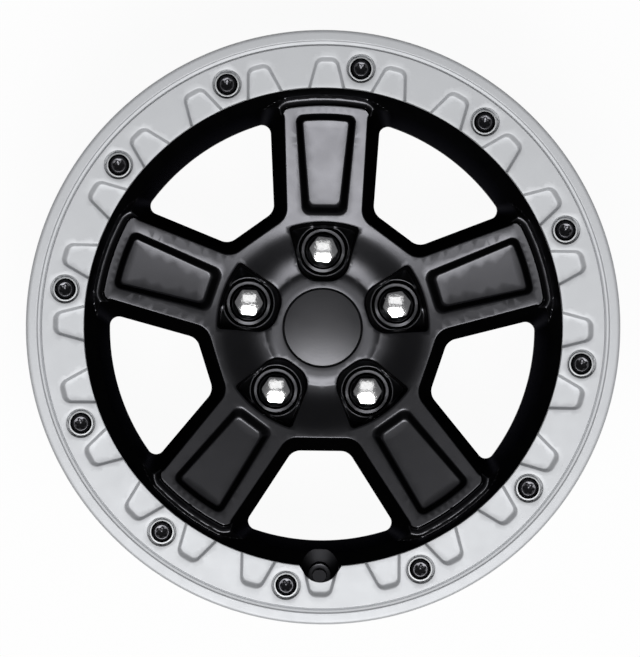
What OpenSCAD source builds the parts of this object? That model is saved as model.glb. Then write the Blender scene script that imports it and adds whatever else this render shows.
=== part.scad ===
// Beadlock wheel: a cast five-spoke wheel with a clamp ring screwed to its street side.
// The axis is Z and the street side faces up. The hub mounting face lies at z = 0,
// the first spoke points to +Y and the valve hole to -Y. The wheel rests on the edge
// of its vehicle-side flange.

/* [Rim] */
// Diameter of the tyre bead seats
bead_seat_d = 436.6; // [434:0.1:439]
// Width between the two planes that the tyre beads press against
rim_width = 203.2; // [190:0.1:216]
// Distance from the rim centre out to the hub mounting face
wheel_offset = 12; // [6:0.5:18]
// Height of the vehicle-side flange above the bead seat
flange_h = 18; // [16:0.1:20]
// Width of the vehicle-side flange, measured along the axis
flange_w = 13; // [11:0.5:15]
// Thickness of the barrel wall
rim_wall = 6.5; // [5:0.1:8]
// Depth of the drop centre below the bead seat
well_depth = 20.3; // [18:0.1:21]
// Length of the floor of the drop centre
well_len = 62; // [50:1:70]
// Depth of the barrel below the bead seat beside the drop centre
ledge_depth = 6; // [4:0.5:8]
// Height of the safety hump above the barrel
hump_h = 5.5; // [4.5:0.1:6]
// Thickness of the tyre bead held between casting and clamp ring
bead_t = 21.6; // [19:0.1:24]
// Height of the shoulder that carries the outer bead, above the bead seat
shoulder_h = 14.7; // [12:0.1:17]
// Thickness of that shoulder
shoulder_t = 8; // [6:0.5:10]

/* [Clamp ring] */
// Height of the ring's outer edge above the bead seat
ring_flange_h = 20.7; // [19:0.1:24]
// How far the ring reaches in from the bead seat
ring_reach = 25.9; // [24:0.1:28]
// Thickness of the clamp ring at its screws
ring_t = 14; // [12.5:0.1:16]
// Depth of the ring's seat behind the outer bead plane
seat_drop = 3.6; // [3:0.1:5]
// Edge radius of the ring's outer rim
ring_edge_r = 3; // [2:0.1:4]
// Fall of the ring's front from the groove to its outer rim
ring_fall = 1.4; // [0:0.1:2]
// Distance from the bead seat out to the turned groove in the ring's front
groove_out = 7.4; // [6:0.1:9]
// Width of that groove
groove_w = 3.9; // [3:0.1:5]
// Depth of that groove
groove_depth = 1.3; // [0.8:0.1:2]
// Radial clearance between the ring and the spigot that centres it
ring_fit = 0.3; // [0.2:0.05:0.5]
// Height of the spigot above the ring's seat
spigot_h = 7; // [5:0.5:9]
// Width of the spigot's flat top
spigot_w = 1.6; // [1.2:0.1:2.2]

/* [Ring pockets] */
// Number of shallow pockets round the ring
tooth_n = 24; // [12:12:24]
// Length of a pocket from the ring's inner edge
tooth_len = 24.2; // [22:0.1:25]
// Half width of a pocket at the ring's inner edge
tooth_hw_in = 14.4; // [12:0.1:15]
// Half width of a pocket near its outer edge
tooth_hw_out = 9.4; // [8:0.1:10]
// Corner radius of a pocket
tooth_corner = 5; // [3:0.1:6]
// Depth of a pocket
tooth_depth = 2.6; // [1:0.1:4]
// Width of a pocket's sloping side, seen from the front
tooth_wall = 2.9; // [2:0.1:4]

/* [Ring screws] */
// Number of screws in the ring
screw_n = 12; // [6:6:12]
// Distance from the bead seat in to the centres of the screws
screw_inset = 8.8; // [8:0.1:10]
// Turn of the first screw away from the first spoke
screw_turn = 7.5; // [6.5:0.1:8.5]
// Thread diameter of a screw
screw_d = 8; // [6:0.1:9]
// Length of a screw below its head
screw_len = 30; // [24:0.5:34]
// Diameter of a screw's head
screw_head_d = 16.8; // [14:0.1:18]
// Height of a screw's head
screw_head_h = 4.6; // [4:0.1:6]
// Width across the lobes of a screw's socket
screw_socket_d = 8.2; // [6:0.1:9]
// Depth of a screw's socket
screw_socket_depth = 3; // [2:0.1:3.6]
// Diameter of the flat washer under a screw's head
washer_d = 20; // [18.5:0.1:21]
// Thickness of that washer
washer_t = 1.6; // [1:0.1:2]
// Diameter of the counterbore that holds head and washer
screw_bore_d = 23; // [22:0.1:24]
// Radial clearance of a screw in the washer and in the ring
screw_fit = 0.4; // [0.2:0.05:0.6]
// Radial clearance of a screw in its tapped hole
thread_fit = 0.1; // [0.05:0.01:0.2]

/* [Spokes] */
// Number of spokes and of wheel nuts
spoke_n = 5; // [5:1:5]
// Distance from a spoke's raised face out to the inner edge of the spigot
face_gap = 11.1; // [10:0.1:13]
// Distance from the ring's front back to the outer end of the spoke face
face_drop_out = 12; // [10:0.5:14]
// Distance from the ring's front back to the inner end of the spoke face
face_drop_in = 28; // [25:0.5:30]
// Half width of the spoke face at its outer end
face_hw_out = 33.9; // [32:0.1:35]
// Half width of the spoke face at its inner end
face_hw_in = 30.9; // [29.5:0.1:32]
// Half width of the whole spoke at its outer end
spoke_hw_out = 42; // [40:0.1:43]
// Half width of the whole spoke at its inner end
spoke_hw_in = 38.5; // [37:0.1:39.5]
// Distance from the axis to the straight inner edge of a window
window_in = 99; // [97:0.1:101]
// Distance from the axis to that edge at the level of the spoke faces
window_in_face = 89.5; // [88:0.1:91]
// Corner radius of a window
window_corner = 8; // [5:0.5:10]
// How far the narrowest line of the rim lies inside the spigot's inner edge
neck_step = 17.5; // [15:0.1:20]
// Distance from the ring's front back to that line
neck_drop = 46; // [42:0.5:50]
// Length of the straight land behind that line
neck_land = 10; // [8:0.5:12]
// Width of the groove round the outer end of a spoke face
end_groove_w = 3.2; // [2.5:0.1:4]
// Depth of that groove
end_groove_depth = 3.9; // [2:0.1:5]
// Depth of the low ridge beyond that groove, below the end of the spoke face
end_ridge_drop = 1.8; // [1:0.1:2.5]
// Depth of a spoke at its inner end
spoke_depth_in = 49; // [46:0.5:52]
// Depth of a spoke at its outer end
spoke_depth_out = 45; // [43:0.5:47]

/* [Spoke pockets] */
// Width of the raised frame beyond the outer end of the pocket in a spoke face
pocket_frame = 7.3; // [5:0.1:10]
// Distance from the axis to the inner edge of that pocket
pocket_in = 91.3; // [90:0.1:96]
// Half width of the pocket at its outer end
pocket_hw_out = 23.8; // [20:0.1:25]
// Half width of the pocket at its inner end
pocket_hw_in = 17.7; // [15:0.1:19]
// Corner radius of the pocket
pocket_corner = 5.5; // [3:0.1:7]
// Depth of the pocket
pocket_depth = 9; // [6:0.1:11]
// Width of the pocket's sloping sides, seen from the front
pocket_wall = 5.3; // [4:0.1:6]
// Width of the pocket's sloping inner end, seen from the front
pocket_wall_in = 7.7; // [5:0.1:8.5]
// Width of the pocket's sloping outer end, seen from the front
pocket_wall_out = 4.4; // [3:0.1:6]
// Thickness of metal between the pocket and the channel in the back of a spoke
spoke_web = 8; // [6:0.5:12]
// Thickness of a spoke's side walls beside that channel
spoke_side = 10.5; // [9:0.5:14]

/* [Hub] */
// Diameter of the circle of wheel studs
stud_pcd = 127; // [125:0.1:129]
// Diameter of the stud holes
stud_hole_d = 15; // [14.5:0.1:15.6]
// Length of the straight part of a stud hole
stud_hole_len = 22; // [19:0.5:24]
// Diameter of the hole that fits over the vehicle's hub
pilot_d = 71.5; // [70:0.1:74]
// Length of that hole
pilot_len = 20; // [16:0.5:24]
// Diameter of the mounting pad
pad_d = 156; // [152:0.5:160]
// Height of the hub's front above the mounting face
hub_h = 57.4; // [55:0.1:60]
// Diameter of the flat round the centre cap
surround_d = 78; // [76:0.1:80]
// Width of the falling edge outside that flat
surround_fall_w = 8; // [6:0.1:9]
// Fall of that edge, down to the lowest line of the hollow outside it
surround_fall = 1.3; // [0.8:0.1:3]
// Radius at which the hollow has risen to the spoke faces
bowl_out_r = 86.5; // [85:0.1:90]
// Radius of the outer edge of the deep pocket round a wheel nut
nut_pocket_r = 85; // [83:0.1:87]
// Half width of that pocket at its outer edge
nut_pocket_hw_out = 27.8; // [26:0.1:29]
// Half width of that pocket at its inner edge
nut_pocket_hw_in = 17; // [16:0.1:19]
// Distance from the axis to the inner edge of that pocket
nut_pocket_in = 38.2; // [36.5:0.1:39.5]
// Radius of its two outer corners
nut_pocket_corner = 3; // [2:0.1:5]
// Radius of its two inner corners
nut_pocket_corner_in = 18; // [15:0.5:19]
// Height of the floor of that pocket above the mounting face
nut_pocket_z = 43; // [41:0.5:46]
// Diameter of the deep round recess that a wheel nut sits in
nut_bore_d = 30.2; // [29:0.1:32]
// Diameter of the flat ledge round that recess
nut_ledge_d = 37.6; // [35:0.1:39]
// Height of that ledge above the mounting face
nut_ledge_z = 38; // [36:0.5:40]
// Diameter of the sloping edge outside the ledge, at the pocket's floor
nut_rim_d = 45; // [43:0.1:47]
// Depth of the hollows between the stud holes in the back of the hub
pad_relief_depth = 14; // [8:0.5:18]

/* [Wheel nuts] */
// Width across the flats of a wheel nut
nut_af = 21; // [19:0.1:22]
// Length of a wheel nut from its nose to the top of its dome
nut_len = 36; // [33:0.5:38]
// Length of the dome
nut_dome_h = 7; // [5:0.1:8]
// Angle of the nut's seat, from side to side
nut_seat_angle = 60; // [58:1:62]
// Diameter of the seat at its wide end
nut_seat_d = 24; // [23:0.1:24.8]
// Thread diameter of the wheel studs
stud_d = 14; // [12:0.1:14]
// Pitch of that thread
stud_pitch = 1.5; // [1.25:0.25:1.5]
// Clearance between a nut and its seat, along the axis
nut_fit = 0.2; // [0.1:0.05:0.3]

/* [Centre cap] */
// Diameter of the visible disc of the cap
cap_d = 63; // [62:0.1:63.4]
// Radial clearance round the disc
cap_gap = 0.6; // [0.4:0.05:0.9]
// Thickness of the disc at its edge
cap_t = 2.6; // [2:0.1:3]
// Height of the disc's crown
cap_crown = 1.8; // [1:0.1:2.4]
// Depth of the cap's edge behind the hub's front
cap_sink = 0.8; // [0.3:0.1:1.5]
// Diameter of the round seat that the cap's fingers pass through
cap_bore_d = 59; // [57:0.1:60]
// Length of that seat
cap_bore_len = 18; // [14:0.5:20]
// Radial clearance of the fingers in that seat
cap_fit = 0.3; // [0.2:0.05:0.4]
// Thickness of a finger
finger_t = 2.2; // [1.8:0.1:2.6]
// How far a finger's hook reaches outwards
hook_out = 1.4; // [0.8:0.1:1.6]
// Length of a hook along the axis
hook_len = 5; // [4:0.1:6]
// Number of fingers
finger_n = 6; // [4:1:8]
// Width of the slot between two fingers
finger_slot = 7; // [4:0.5:9]
// Wire diameter of the spring ring inside the fingers
spring_wire_d = 2.2; // [1.6:0.1:2.6]

/* [Valve hole] */
// Diameter of the valve hole
valve_d = 11.3; // [11:0.05:11.7]
// Thickness of the wall that the valve passes through
valve_wall = 4.5; // [3.5:0.1:5.5]
// Diameter of the floor of the valve recess
valve_floor_d = 19; // [17.5:0.1:20]
// Diameter of the recess at its mouth
valve_mouth_d = 30; // [28:0.1:31]
// Length of the recess's cone
valve_cone_len = 20; // [17:0.5:22]
// Angle between the valve hole and the wheel's axis
valve_tilt = 15; // [13:0.5:17]
// Distance from the bead seat in to the centre of the recess's floor
valve_inset = 17.3; // [16.5:0.1:18]
// Distance from the ring's front back to that point
valve_drop = 42; // [40:0.5:43]
// Diameter of the round notch in the clamp ring over the recess
notch_d = 31.4; // [31:0.1:33]
// Half width of the notch's chamfered mouth at the ring's inner edge
notch_mouth_hw = 16.5; // [16:0.1:18]

/* [Hidden] */
$fn = 96;
EPS = 0.01;
PAST = 5;
// Steps in which corners and arcs are rounded
FINE_N = 8;
CORNER_N = 6;
POCKET_N = 5;
FEW_N = 4;
ARC_N = 10;
// Small bevel on the edges of the casting
SOFT = 1;
SPOKE_STEP = 360 / spoke_n;

// Levels along the axis, worked out from the rim's width and offset
outer_bead_z = rim_width / 2 - wheel_offset;
inner_bead_z = -rim_width / 2 - wheel_offset;
rim_end_z = inner_bead_z - flange_w;
seat_z = outer_bead_z - seat_drop;
front_z = seat_z + ring_t;
spigot_z = seat_z + spigot_h;
shoulder_z = outer_bead_z - bead_t;
shoulder_back_z = shoulder_z - shoulder_t;
neck_z = front_z - neck_drop;
well_slope = 19;
well_out_z = shoulder_back_z - well_slope;
well_in_z = well_out_z - well_len;
ledge_slope = 13;
ledge_z = well_in_z - ledge_slope;
hump_gap = 20;
hump_z = inner_bead_z + hump_gap;
hump_w = 6;

// Radii of the rim
bead_r = bead_seat_d / 2;
flange_r = bead_r + flange_h;
shoulder_r = bead_r + shoulder_h;
well_r = bead_r - well_depth;
ledge_r = bead_r - ledge_depth;
hump_r = ledge_r + hump_h;
well_bore_r = well_r - rim_wall;
ledge_bore_r = ledge_r - rim_wall;
mouth_bore_r = bead_r - rim_wall;
ring_in_r = bead_r - ring_reach;
ring_r = bead_r + ring_flange_h;
tooth_r = ring_in_r + tooth_len;
groove_r = bead_r + groove_out;
spigot_r = ring_in_r - ring_fit;
band_r = spigot_r - spigot_w;
neck_r = band_r - neck_step;
face_r = band_r - face_gap;
pocket_r = face_r - pocket_frame;

// Spoke face: a shallow cone that rises from the hub to the rim
face_in_r = 92;
face_out_z = front_z - face_drop_out;
face_in_z = front_z - face_drop_in;
face_slope = (face_out_z - face_in_z) / (face_r - face_in_r);
function face_z(r) = face_in_z + (r - face_in_r) * face_slope;

// Spoke back
back_in_r = 100;
back_in_z = face_z(back_in_r) - spoke_depth_in;
back_out_z = face_out_z - spoke_depth_out;
pad_r = pad_d / 2;

// The windows' narrowest line lies deeper at the hub than at the rim
edge_slope = 0.19;
edge_rise = 4;
function edge_z(y) = neck_z + edge_rise - (neck_r - y) * edge_slope;

// Screw seats in the ring
screw_pcr = bead_r - screw_inset;
washer_z = front_z - screw_head_h - washer_t;
head_z = front_z - screw_head_h;
screw_tip_z = head_z - screw_len;
tapped_past = 3;

// Wheel nuts
stud_pcr = stud_pcd / 2;
seat_tan = tan(nut_seat_angle / 2);
seat_bottom_z = stud_hole_len;
seat_top_z = seat_bottom_z + (nut_bore_d - stud_hole_d) / 2 / seat_tan;
nut_seat_len = (nut_seat_d - stud_hole_d) / 2 / seat_tan;
nut_z = seat_bottom_z + nut_fit;
stud_minor_d = stud_d - 1.0825 * stud_pitch;
NUT_TURNS = [-6, 12, 1, -4, -2];

// Cap
cap_seat_z = hub_h - cap_sink - cap_t;
cap_bore_z = cap_seat_z - cap_bore_len;
finger_r = cap_bore_d / 2 - cap_fit;
hub_cavity_r = 33;

// Valve hole
valve_r = bead_r - valve_inset;
valve_z = front_z - valve_drop;

SCREWS = [for (i = [1:screw_n]) i];
NUTS = [for (i = [1:spoke_n]) i];
function two_digits(i) = str(i < 10 ? "0" : "", i);
function screw_name(i) = str("ring_screw_", two_digits(i));
function washer_name(i) = str("ring_washer_", two_digits(i));
function nut_name(i) = str("wheel_nut_", i);

// Outlines

function unit(v) = v / norm(v);
function mirrored(p) = [-p[0], p[1]];
function reversed(list) = [for (i = [len(list) - 1:-1:0]) list[i]];

// Round arc about a centre, from one angle to another, counted from +X
function arc(centre, r, from, to, n = CORNER_N) =
    [for (i = [0:n]) let (a = from + (to - from) * i / n) centre + r * [cos(a), sin(a)]];

// Arc that rounds the corner p between its neighbours before and after, in n steps
function rounded(p, before, after, r, n) =
    n == 0 ? [p] : let (
        u = unit(before - p),
        v = unit(after - p),
        half = acos(u * v) / 2,
        centre = p + unit(u + v) * r / sin(half),
        s = unit(p + u * r / tan(half) - centre),
        e = unit(p + v * r / tan(half) - centre),
        turn = 180 - 2 * half
    )
    [for (i = [0:n]) let (k = i / n)
        centre + r * (sin((1 - k) * turn) * s + sin(k * turn) * e) / sin(turn)];

// Fan-shaped outline, symmetric about +Y and counted anticlockwise: a straight inner
// edge at y_in, sides through the points a and b, and an outer arc about the axis. The
// corners and the arc take as many steps as n_in, n_out and n_arc say.
function fan(y_in, a, b, r_out, corner_in, corner_out, n_in = CORNER_N, n_out = CORNER_N,
        n_arc = ARC_N) =
    let (
        dir = unit(b - a),
        p_in = a + dir * (y_in - a[1]) / dir[1],
        along = p_in * dir,
        p_out = p_in + dir * (sqrt(along * along - p_in * p_in + r_out * r_out) - along),
        tangent = unit([-p_out[1], p_out[0]]),
        cut = corner_out / tan(acos(tangent * unit(p_in - p_out)) / 2),
        span = atan2(p_out[0], p_out[1]) - 1.1 * cut / r_out * 180 / PI,
        top = arc([0, 0], r_out, 90 - span, 90 + span, n_arc),
        right = concat(
            rounded(p_in, mirrored(p_in), p_out, corner_in, n_in),
            rounded(p_out, p_in, p_out + tangent, corner_out, n_out)
        )
    )
    concat(right, top, reversed([for (p = right) mirrored(p)]));

// Solid through a stack of outlines with as many points each. A level is [outline,
// height at y = 0, rise per unit of y].
module loft(levels) {
    n = len(levels[0][0]);
    last = len(levels) - 1;
    points = [for (l = levels, p = l[0]) [p[0], p[1], l[1] + l[2] * p[1]]];
    sides = [for (k = [0:last - 1], i = [0:n - 1], upper = [true, false])
        let (
            j = (i + 1) % n,
            low_i = k * n + i,
            low_j = k * n + j
        )
        upper ? [low_i, low_i + n, low_j + n] : [low_i, low_j + n, low_j]];
    bottom = [for (i = [0:n - 1]) i];
    top = [for (i = [n - 1:-1:0]) last * n + i];
    polyhedron(points = points, faces = concat([bottom], sides, [top]), convexity = 4);
}

// The children repeated round the axis, the first one turned clockwise by start
module around(n, start = 0) {
    for (i = [0:n - 1]) rotate([0, 0, -start - i * 360 / n]) children();
}

// Wheel casting

// Section of the barrel, from the spigot down the tyre side and back up the inside
module rim_section() {
    shoulder_round = 2;
    taper_w = 9;
    taper_drop = 3;
    bend = 4;
    heel = 3;
    lip_round = 6.5;
    lip_slope = 4;
    // The inside bends a little lower than the outside, which keeps the wall even
    wall_shift = 2;
    flare_len = 30;
    flare_w = 7;
    flare_drop = 6;
    neck_round = 4;
    polygon(concat(
        [
            [band_r, spigot_z],
            [spigot_r, spigot_z],
            [spigot_r, seat_z],
            [bead_r, seat_z],
            [bead_r, shoulder_z]
        ],
        arc([shoulder_r - shoulder_round, shoulder_z - shoulder_round], shoulder_round, 90, 0),
        [
            [shoulder_r, shoulder_back_z + SOFT],
            [shoulder_r - taper_w, shoulder_back_z - taper_drop],
            [well_r + bend, well_out_z + bend],
            [well_r, well_out_z - bend],
            [well_r, well_in_z],
            [ledge_r, ledge_z],
            [ledge_r, hump_z + 2 * hump_w],
            [hump_r, hump_z + hump_w],
            [hump_r, hump_z + hump_w / 2],
            [hump_r - SOFT, hump_z],
            [bead_r, inner_bead_z + heel],
            [bead_r + heel, inner_bead_z]
        ],
        arc([flange_r - lip_round, inner_bead_z - lip_round], lip_round, 90, 0),
        [
            [flange_r, rim_end_z + SOFT],
            [flange_r - SOFT, rim_end_z],
            [flange_r - lip_round, rim_end_z],
            [flange_r - lip_round - lip_slope, inner_bead_z - rim_wall],
            [mouth_bore_r + heel, inner_bead_z - rim_wall],
            [mouth_bore_r - heel, inner_bead_z + heel],
            [ledge_bore_r, hump_z],
            [ledge_bore_r, ledge_z - wall_shift],
            [well_bore_r, well_in_z - wall_shift],
            [well_bore_r, neck_z - neck_land - flare_len],
            [neck_r + flare_w, neck_z - neck_land - flare_drop]
        ],
        arc([neck_r + neck_round, neck_z - neck_land + neck_round], neck_round, 225, 180),
        arc([neck_r + neck_round, neck_z - neck_round / 2], neck_round, 180, 155)
    ));
}

// Section of the disc that the hub and the spokes are cut from
module disc_section() {
    bowl_r = surround_d / 2 + surround_fall_w;
    bowl_z = hub_h - surround_fall;
    bowl_slope = 0.12;
    bowl_w = bowl_out_r - bowl_r;
    bowl_rise = face_z(bowl_out_r) - bowl_z - bowl_slope * bowl_w;
    groove_z = face_out_z - end_groove_depth;
    groove_side = 0.8;
    groove_out_r = face_r + end_groove_w;
    ridge_z = face_out_z - end_ridge_drop;
    valley_w = 3.2;
    valley_z = face_out_z - end_groove_depth - SOFT;
    // The disc ends inside the barrel, a little below the top of the spigot
    join_r = band_r + spigot_w / 2;
    join_z = spigot_z - 0.4;
    root = 2;
    pad_flare = 8;
    polygon(concat(
        [
            [0, 0],
            [0, hub_h],
            [surround_d / 2, hub_h],
            [bowl_r - surround_fall_w / 3, hub_h - surround_fall / 2]
        ],
        // The hollow rises to the spoke faces on a cosine wave over a slight slope
        [for (i = [0:ARC_N])
            let (k = i / ARC_N)
            [bowl_r + bowl_w * k,
             bowl_z + bowl_slope * bowl_w * k + bowl_rise * (1 - cos(180 * k)) / 2]],
        [
            [face_r, face_out_z],
            [face_r + groove_side, groove_z],
            [groove_out_r, groove_z],
            [groove_out_r + SOFT, ridge_z],
            [band_r - valley_w, valley_z],
            [join_r - SOFT, join_z - SOFT],
            [join_r, join_z],
            [join_r, neck_z],
            [neck_r + root, back_out_z + root],
            [neck_r - root, back_out_z],
            [back_in_r, back_in_z],
            [pad_r + pad_flare, back_in_z / 2],
            [pad_r + 2 * SOFT, SOFT],
            [pad_r, 0]
        ]
    ));
}

// One window: it narrows from the level of the faces down to its narrowest line
module window_cutter() {
    top_z = front_z + PAST;
    half = SPOKE_STEP / 2;
    // A point beside a spoke, seen from the middle of the window
    function beside(hw, y) =
        [-hw * cos(half) + y * sin(half), hw * sin(half) + y * cos(half)];
    // Carries the slope from the narrowest line through the face up to the top
    function raised(edge_v, face_v, edge_h, face_h) =
        edge_v + (face_v - edge_v) * (top_z - edge_h) / (face_h - edge_h);
    y_in = 104;
    y_out = 168;
    reach = 0.6;
    edge_in = raised(spoke_hw_in, face_hw_in, edge_z(y_in), face_z(y_in));
    edge_out = raised(spoke_hw_out, face_hw_out, edge_z(y_out), face_z(y_out));
    top_in = raised(window_in, window_in_face, edge_z(window_in), face_z(window_in_face));
    band_slope = (band_r - neck_r) / (spigot_z - neck_z);
    top_r = neck_r + (top_z - neck_z) * band_slope + SOFT;
    low_r = neck_r + reach;
    narrow = fan(window_in, beside(spoke_hw_in, y_in), beside(spoke_hw_out, y_out),
        low_r, window_corner, window_corner);
    wide = fan(top_in, beside(edge_in, y_in), beside(edge_out, y_out),
        top_r, 2 * window_corner, window_corner);
    loft([
        [narrow, -PAST, 0],
        [narrow, edge_z(0), edge_slope],
        [wide, top_z, 0]
    ]);
}

// Pocket in a spoke face, with sloping sides and a floor along the face
module pocket_cutter() {
    y_in = 96;
    y_out = 166;
    lift = 3;
    corner_low = pocket_corner - 2;
    grow = lift / pocket_depth;
    floor_z = face_z(0) - pocket_depth;
    hw_in = pocket_hw_in;
    hw_out = pocket_hw_out;
    low = fan(pocket_in + pocket_wall_in, [hw_in - pocket_wall, y_in],
        [hw_out - pocket_wall, y_out], pocket_r - pocket_wall_out,
        corner_low, corner_low, POCKET_N, POCKET_N, POCKET_N);
    high = fan(pocket_in - pocket_wall_in * grow, [hw_in + pocket_wall * grow, y_in],
        [hw_out + pocket_wall * grow, y_out], pocket_r + pocket_wall_out * grow,
        pocket_corner, pocket_corner, POCKET_N, POCKET_N, POCKET_N);
    loft([[low, floor_z, face_slope], [high, floor_z + pocket_depth + lift, face_slope]]);
}

// Channel in the back of a spoke, between its two side walls
module channel_cutter() {
    y_in = 106;
    y_out = 160;
    draft = 3;
    end_r = neck_r - 5;
    top_z = face_z(0) - pocket_depth - spoke_web;
    hw_in = spoke_hw_in - spoke_side;
    hw_out = spoke_hw_out - spoke_side;
    low = fan(y_in - draft, [hw_in, y_in], [hw_out, y_out], end_r,
        pocket_corner, pocket_corner, FEW_N, FEW_N, FEW_N);
    high = fan(y_in, [hw_in - draft, y_in], [hw_out - draft, y_out], end_r - draft,
        pocket_corner - SOFT, pocket_corner - SOFT, FEW_N, FEW_N, FEW_N);
    loft([[low, -PAST, 0], [high, top_z, face_slope]]);
}

// Deep pocket round a wheel nut, with a round stepped recess in its floor
module nut_pocket_cutter() {
    draft = 1.5;
    top_z = front_z;
    side_len = nut_pocket_r - nut_pocket_in - 5;
    side_in = [nut_pocket_hw_in, nut_pocket_in];
    side_out = [nut_pocket_hw_out, nut_pocket_in + side_len];
    narrower = [-draft, 0];
    low = fan(nut_pocket_in + draft, side_in + narrower, side_out + narrower,
        nut_pocket_r - draft, nut_pocket_corner_in - draft, nut_pocket_corner,
        FINE_N, FEW_N, CORNER_N);
    high = fan(nut_pocket_in, side_in, side_out,
        nut_pocket_r, nut_pocket_corner_in - draft, nut_pocket_corner,
        FINE_N, FEW_N, CORNER_N);
    loft([[low, nut_pocket_z, 0], [high, top_z, 0]]);
}

module nut_seat_cutter() {
    translate([0, stud_pcr, 0]) {
        translate([0, 0, -PAST]) cylinder(d = stud_hole_d, h = PAST + seat_bottom_z + EPS);
        translate([0, 0, seat_bottom_z])
            cylinder(d1 = stud_hole_d, d2 = nut_bore_d, h = seat_top_z - seat_bottom_z);
        translate([0, 0, seat_top_z - EPS])
            cylinder(d = nut_bore_d, h = nut_ledge_z - seat_top_z + 2 * EPS);
        translate([0, 0, nut_ledge_z])
            cylinder(d1 = nut_ledge_d, d2 = nut_rim_d, h = nut_pocket_z - nut_ledge_z + EPS);
    }
}

// Hollow in the back of the hub, between two stud holes
module pad_relief_cutter() {
    draft = 1;
    wall_in = 13;
    wall_out = 7;
    corner = 5;
    hw_in = 9;
    hw_out = 15;
    y_in = pilot_d / 2 + wall_in;
    end_r = pad_r - wall_out;
    low = fan(y_in, [hw_in, y_in], [hw_out, stud_pcr], end_r, corner, corner,
        FEW_N, FEW_N, FEW_N);
    high = fan(y_in + draft, [hw_in - draft, y_in], [hw_out - draft, stud_pcr],
        end_r - draft, corner - draft, corner - draft, FEW_N, FEW_N, FEW_N);
    loft([[low, -PAST, 0], [high, pad_relief_depth, 0]]);
}

// Bore for the vehicle's hub, and the seat and the sunk rim for the cap
module hub_bore_cutter() {
    translate([0, 0, -PAST]) cylinder(d = pilot_d, h = PAST + pilot_len);
    translate([0, 0, pilot_len - EPS]) cylinder(r = hub_cavity_r, h = cap_bore_z - pilot_len + EPS);
    translate([0, 0, cap_bore_z - EPS]) cylinder(d = cap_bore_d, h = cap_bore_len + 2 * EPS);
    translate([0, 0, cap_seat_z]) cylinder(r = cap_d / 2 + cap_gap, h = hub_h);
}

// The children in the valve hole's own frame: its floor at the origin, +Z outwards
module at_valve() {
    translate([0, -valve_r, valve_z]) rotate([-valve_tilt, 0, 0]) children();
}

module valve_cutter() {
    behind = 30;
    at_valve() {
        translate([0, 0, -behind]) cylinder(d = valve_d, h = behind + PAST);
        translate([0, 0, -behind]) cylinder(d = valve_floor_d, h = behind - valve_wall);
        cylinder(d1 = valve_floor_d, d2 = valve_mouth_d, h = valve_cone_len);
        translate([0, 0, valve_cone_len - EPS]) cylinder(d = valve_mouth_d, h = valve_drop);
    }
}

module tapped_hole_cutter() {
    translate([0, screw_pcr, screw_tip_z - tapped_past])
        cylinder(d = screw_d + 2 * thread_fit, h = front_z - screw_tip_z + tapped_past);
}

module wheel_casting() {
    color([0.1, 0.1, 0.11]) difference() {
        union() {
            rotate_extrude() rim_section();
            difference() {
                rotate_extrude() disc_section();
                around(spoke_n, SPOKE_STEP / 2) window_cutter();
                around(spoke_n) pocket_cutter();
                around(spoke_n) channel_cutter();
                around(spoke_n) nut_pocket_cutter();
                around(spoke_n) nut_seat_cutter();
                around(spoke_n, SPOKE_STEP / 2) pad_relief_cutter();
                hub_bore_cutter();
            }
        }
        around(screw_n, screw_turn) tapped_hole_cutter();
        valve_cutter();
    }
}

// Clamp ring

module ring_section() {
    land_r = bead_r + ring_fit;
    under_z = outer_bead_z;
    under_lift = 4;
    rim_z = front_z - ring_fall;
    groove_lip = 0.2;
    bevel = 0.6;
    polygon(concat(
        [
            [ring_in_r, seat_z],
            [land_r, seat_z],
            [land_r, under_z],
            [shoulder_r, under_z],
            [ring_r - SOFT, under_z + under_lift]
        ],
        arc([ring_r - ring_edge_r, rim_z - ring_edge_r], ring_edge_r, 0, 90),
        [
            [groove_r + groove_w, front_z - groove_lip],
            [groove_r + groove_w - groove_depth, front_z - groove_depth],
            [groove_r + groove_depth, front_z - groove_depth],
            [groove_r, front_z],
            [ring_in_r + bevel, front_z],
            [ring_in_r, front_z - bevel]
        ]
    ));
}

// Shallow pocket that is open to the ring's inner edge
module tooth_cutter() {
    lift = 1;
    grow = tooth_wall * lift / tooth_depth;
    y_open = ring_in_r - PAST;
    y_side = tooth_r - tooth_corner;
    lean = 1.5;
    corner_low = tooth_corner - 2;
    low = fan(y_open, [tooth_hw_in - tooth_wall, ring_in_r], [tooth_hw_out - tooth_wall, y_side],
        tooth_r - lean * tooth_wall, 0, corner_low, 0, FEW_N, FEW_N / 2);
    high = fan(y_open, [tooth_hw_in + grow, ring_in_r], [tooth_hw_out + grow, y_side],
        tooth_r + lean * grow, 0, tooth_corner, 0, FEW_N, FEW_N / 2);
    loft([[low, front_z - tooth_depth, 0], [high, front_z + lift, 0]]);
}

module screw_bore_cutter() {
    translate([0, screw_pcr, washer_z]) cylinder(d = screw_bore_d, h = ring_t);
    translate([0, screw_pcr, seat_z - PAST])
        cylinder(d = screw_d + 2 * screw_fit, h = ring_t);
}

// Notch over the valve recess, round at its end and chamfered at its mouth
module notch_cutter() {
    at_valve() cylinder(d = notch_d, h = 2 * valve_drop);
    reach = 9;
    narrow = 3.6;
    lip = 0.8;
    translate([0, 0, seat_z - PAST]) linear_extrude(ring_t + 2 * PAST) polygon([
        [-notch_mouth_hw - narrow, -ring_in_r + PAST],
        [notch_mouth_hw + narrow, -ring_in_r + PAST],
        [notch_mouth_hw, -ring_in_r - lip],
        [notch_mouth_hw - narrow, -ring_in_r - reach],
        [-notch_mouth_hw + narrow, -ring_in_r - reach],
        [-notch_mouth_hw, -ring_in_r - lip]
    ]);
}

module clamp_ring() {
    color([0.78, 0.79, 0.8]) difference() {
        rotate_extrude() ring_section();
        around(tooth_n) tooth_cutter();
        around(screw_n, screw_turn) screw_bore_cutter();
        notch_cutter();
    }
}

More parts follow.
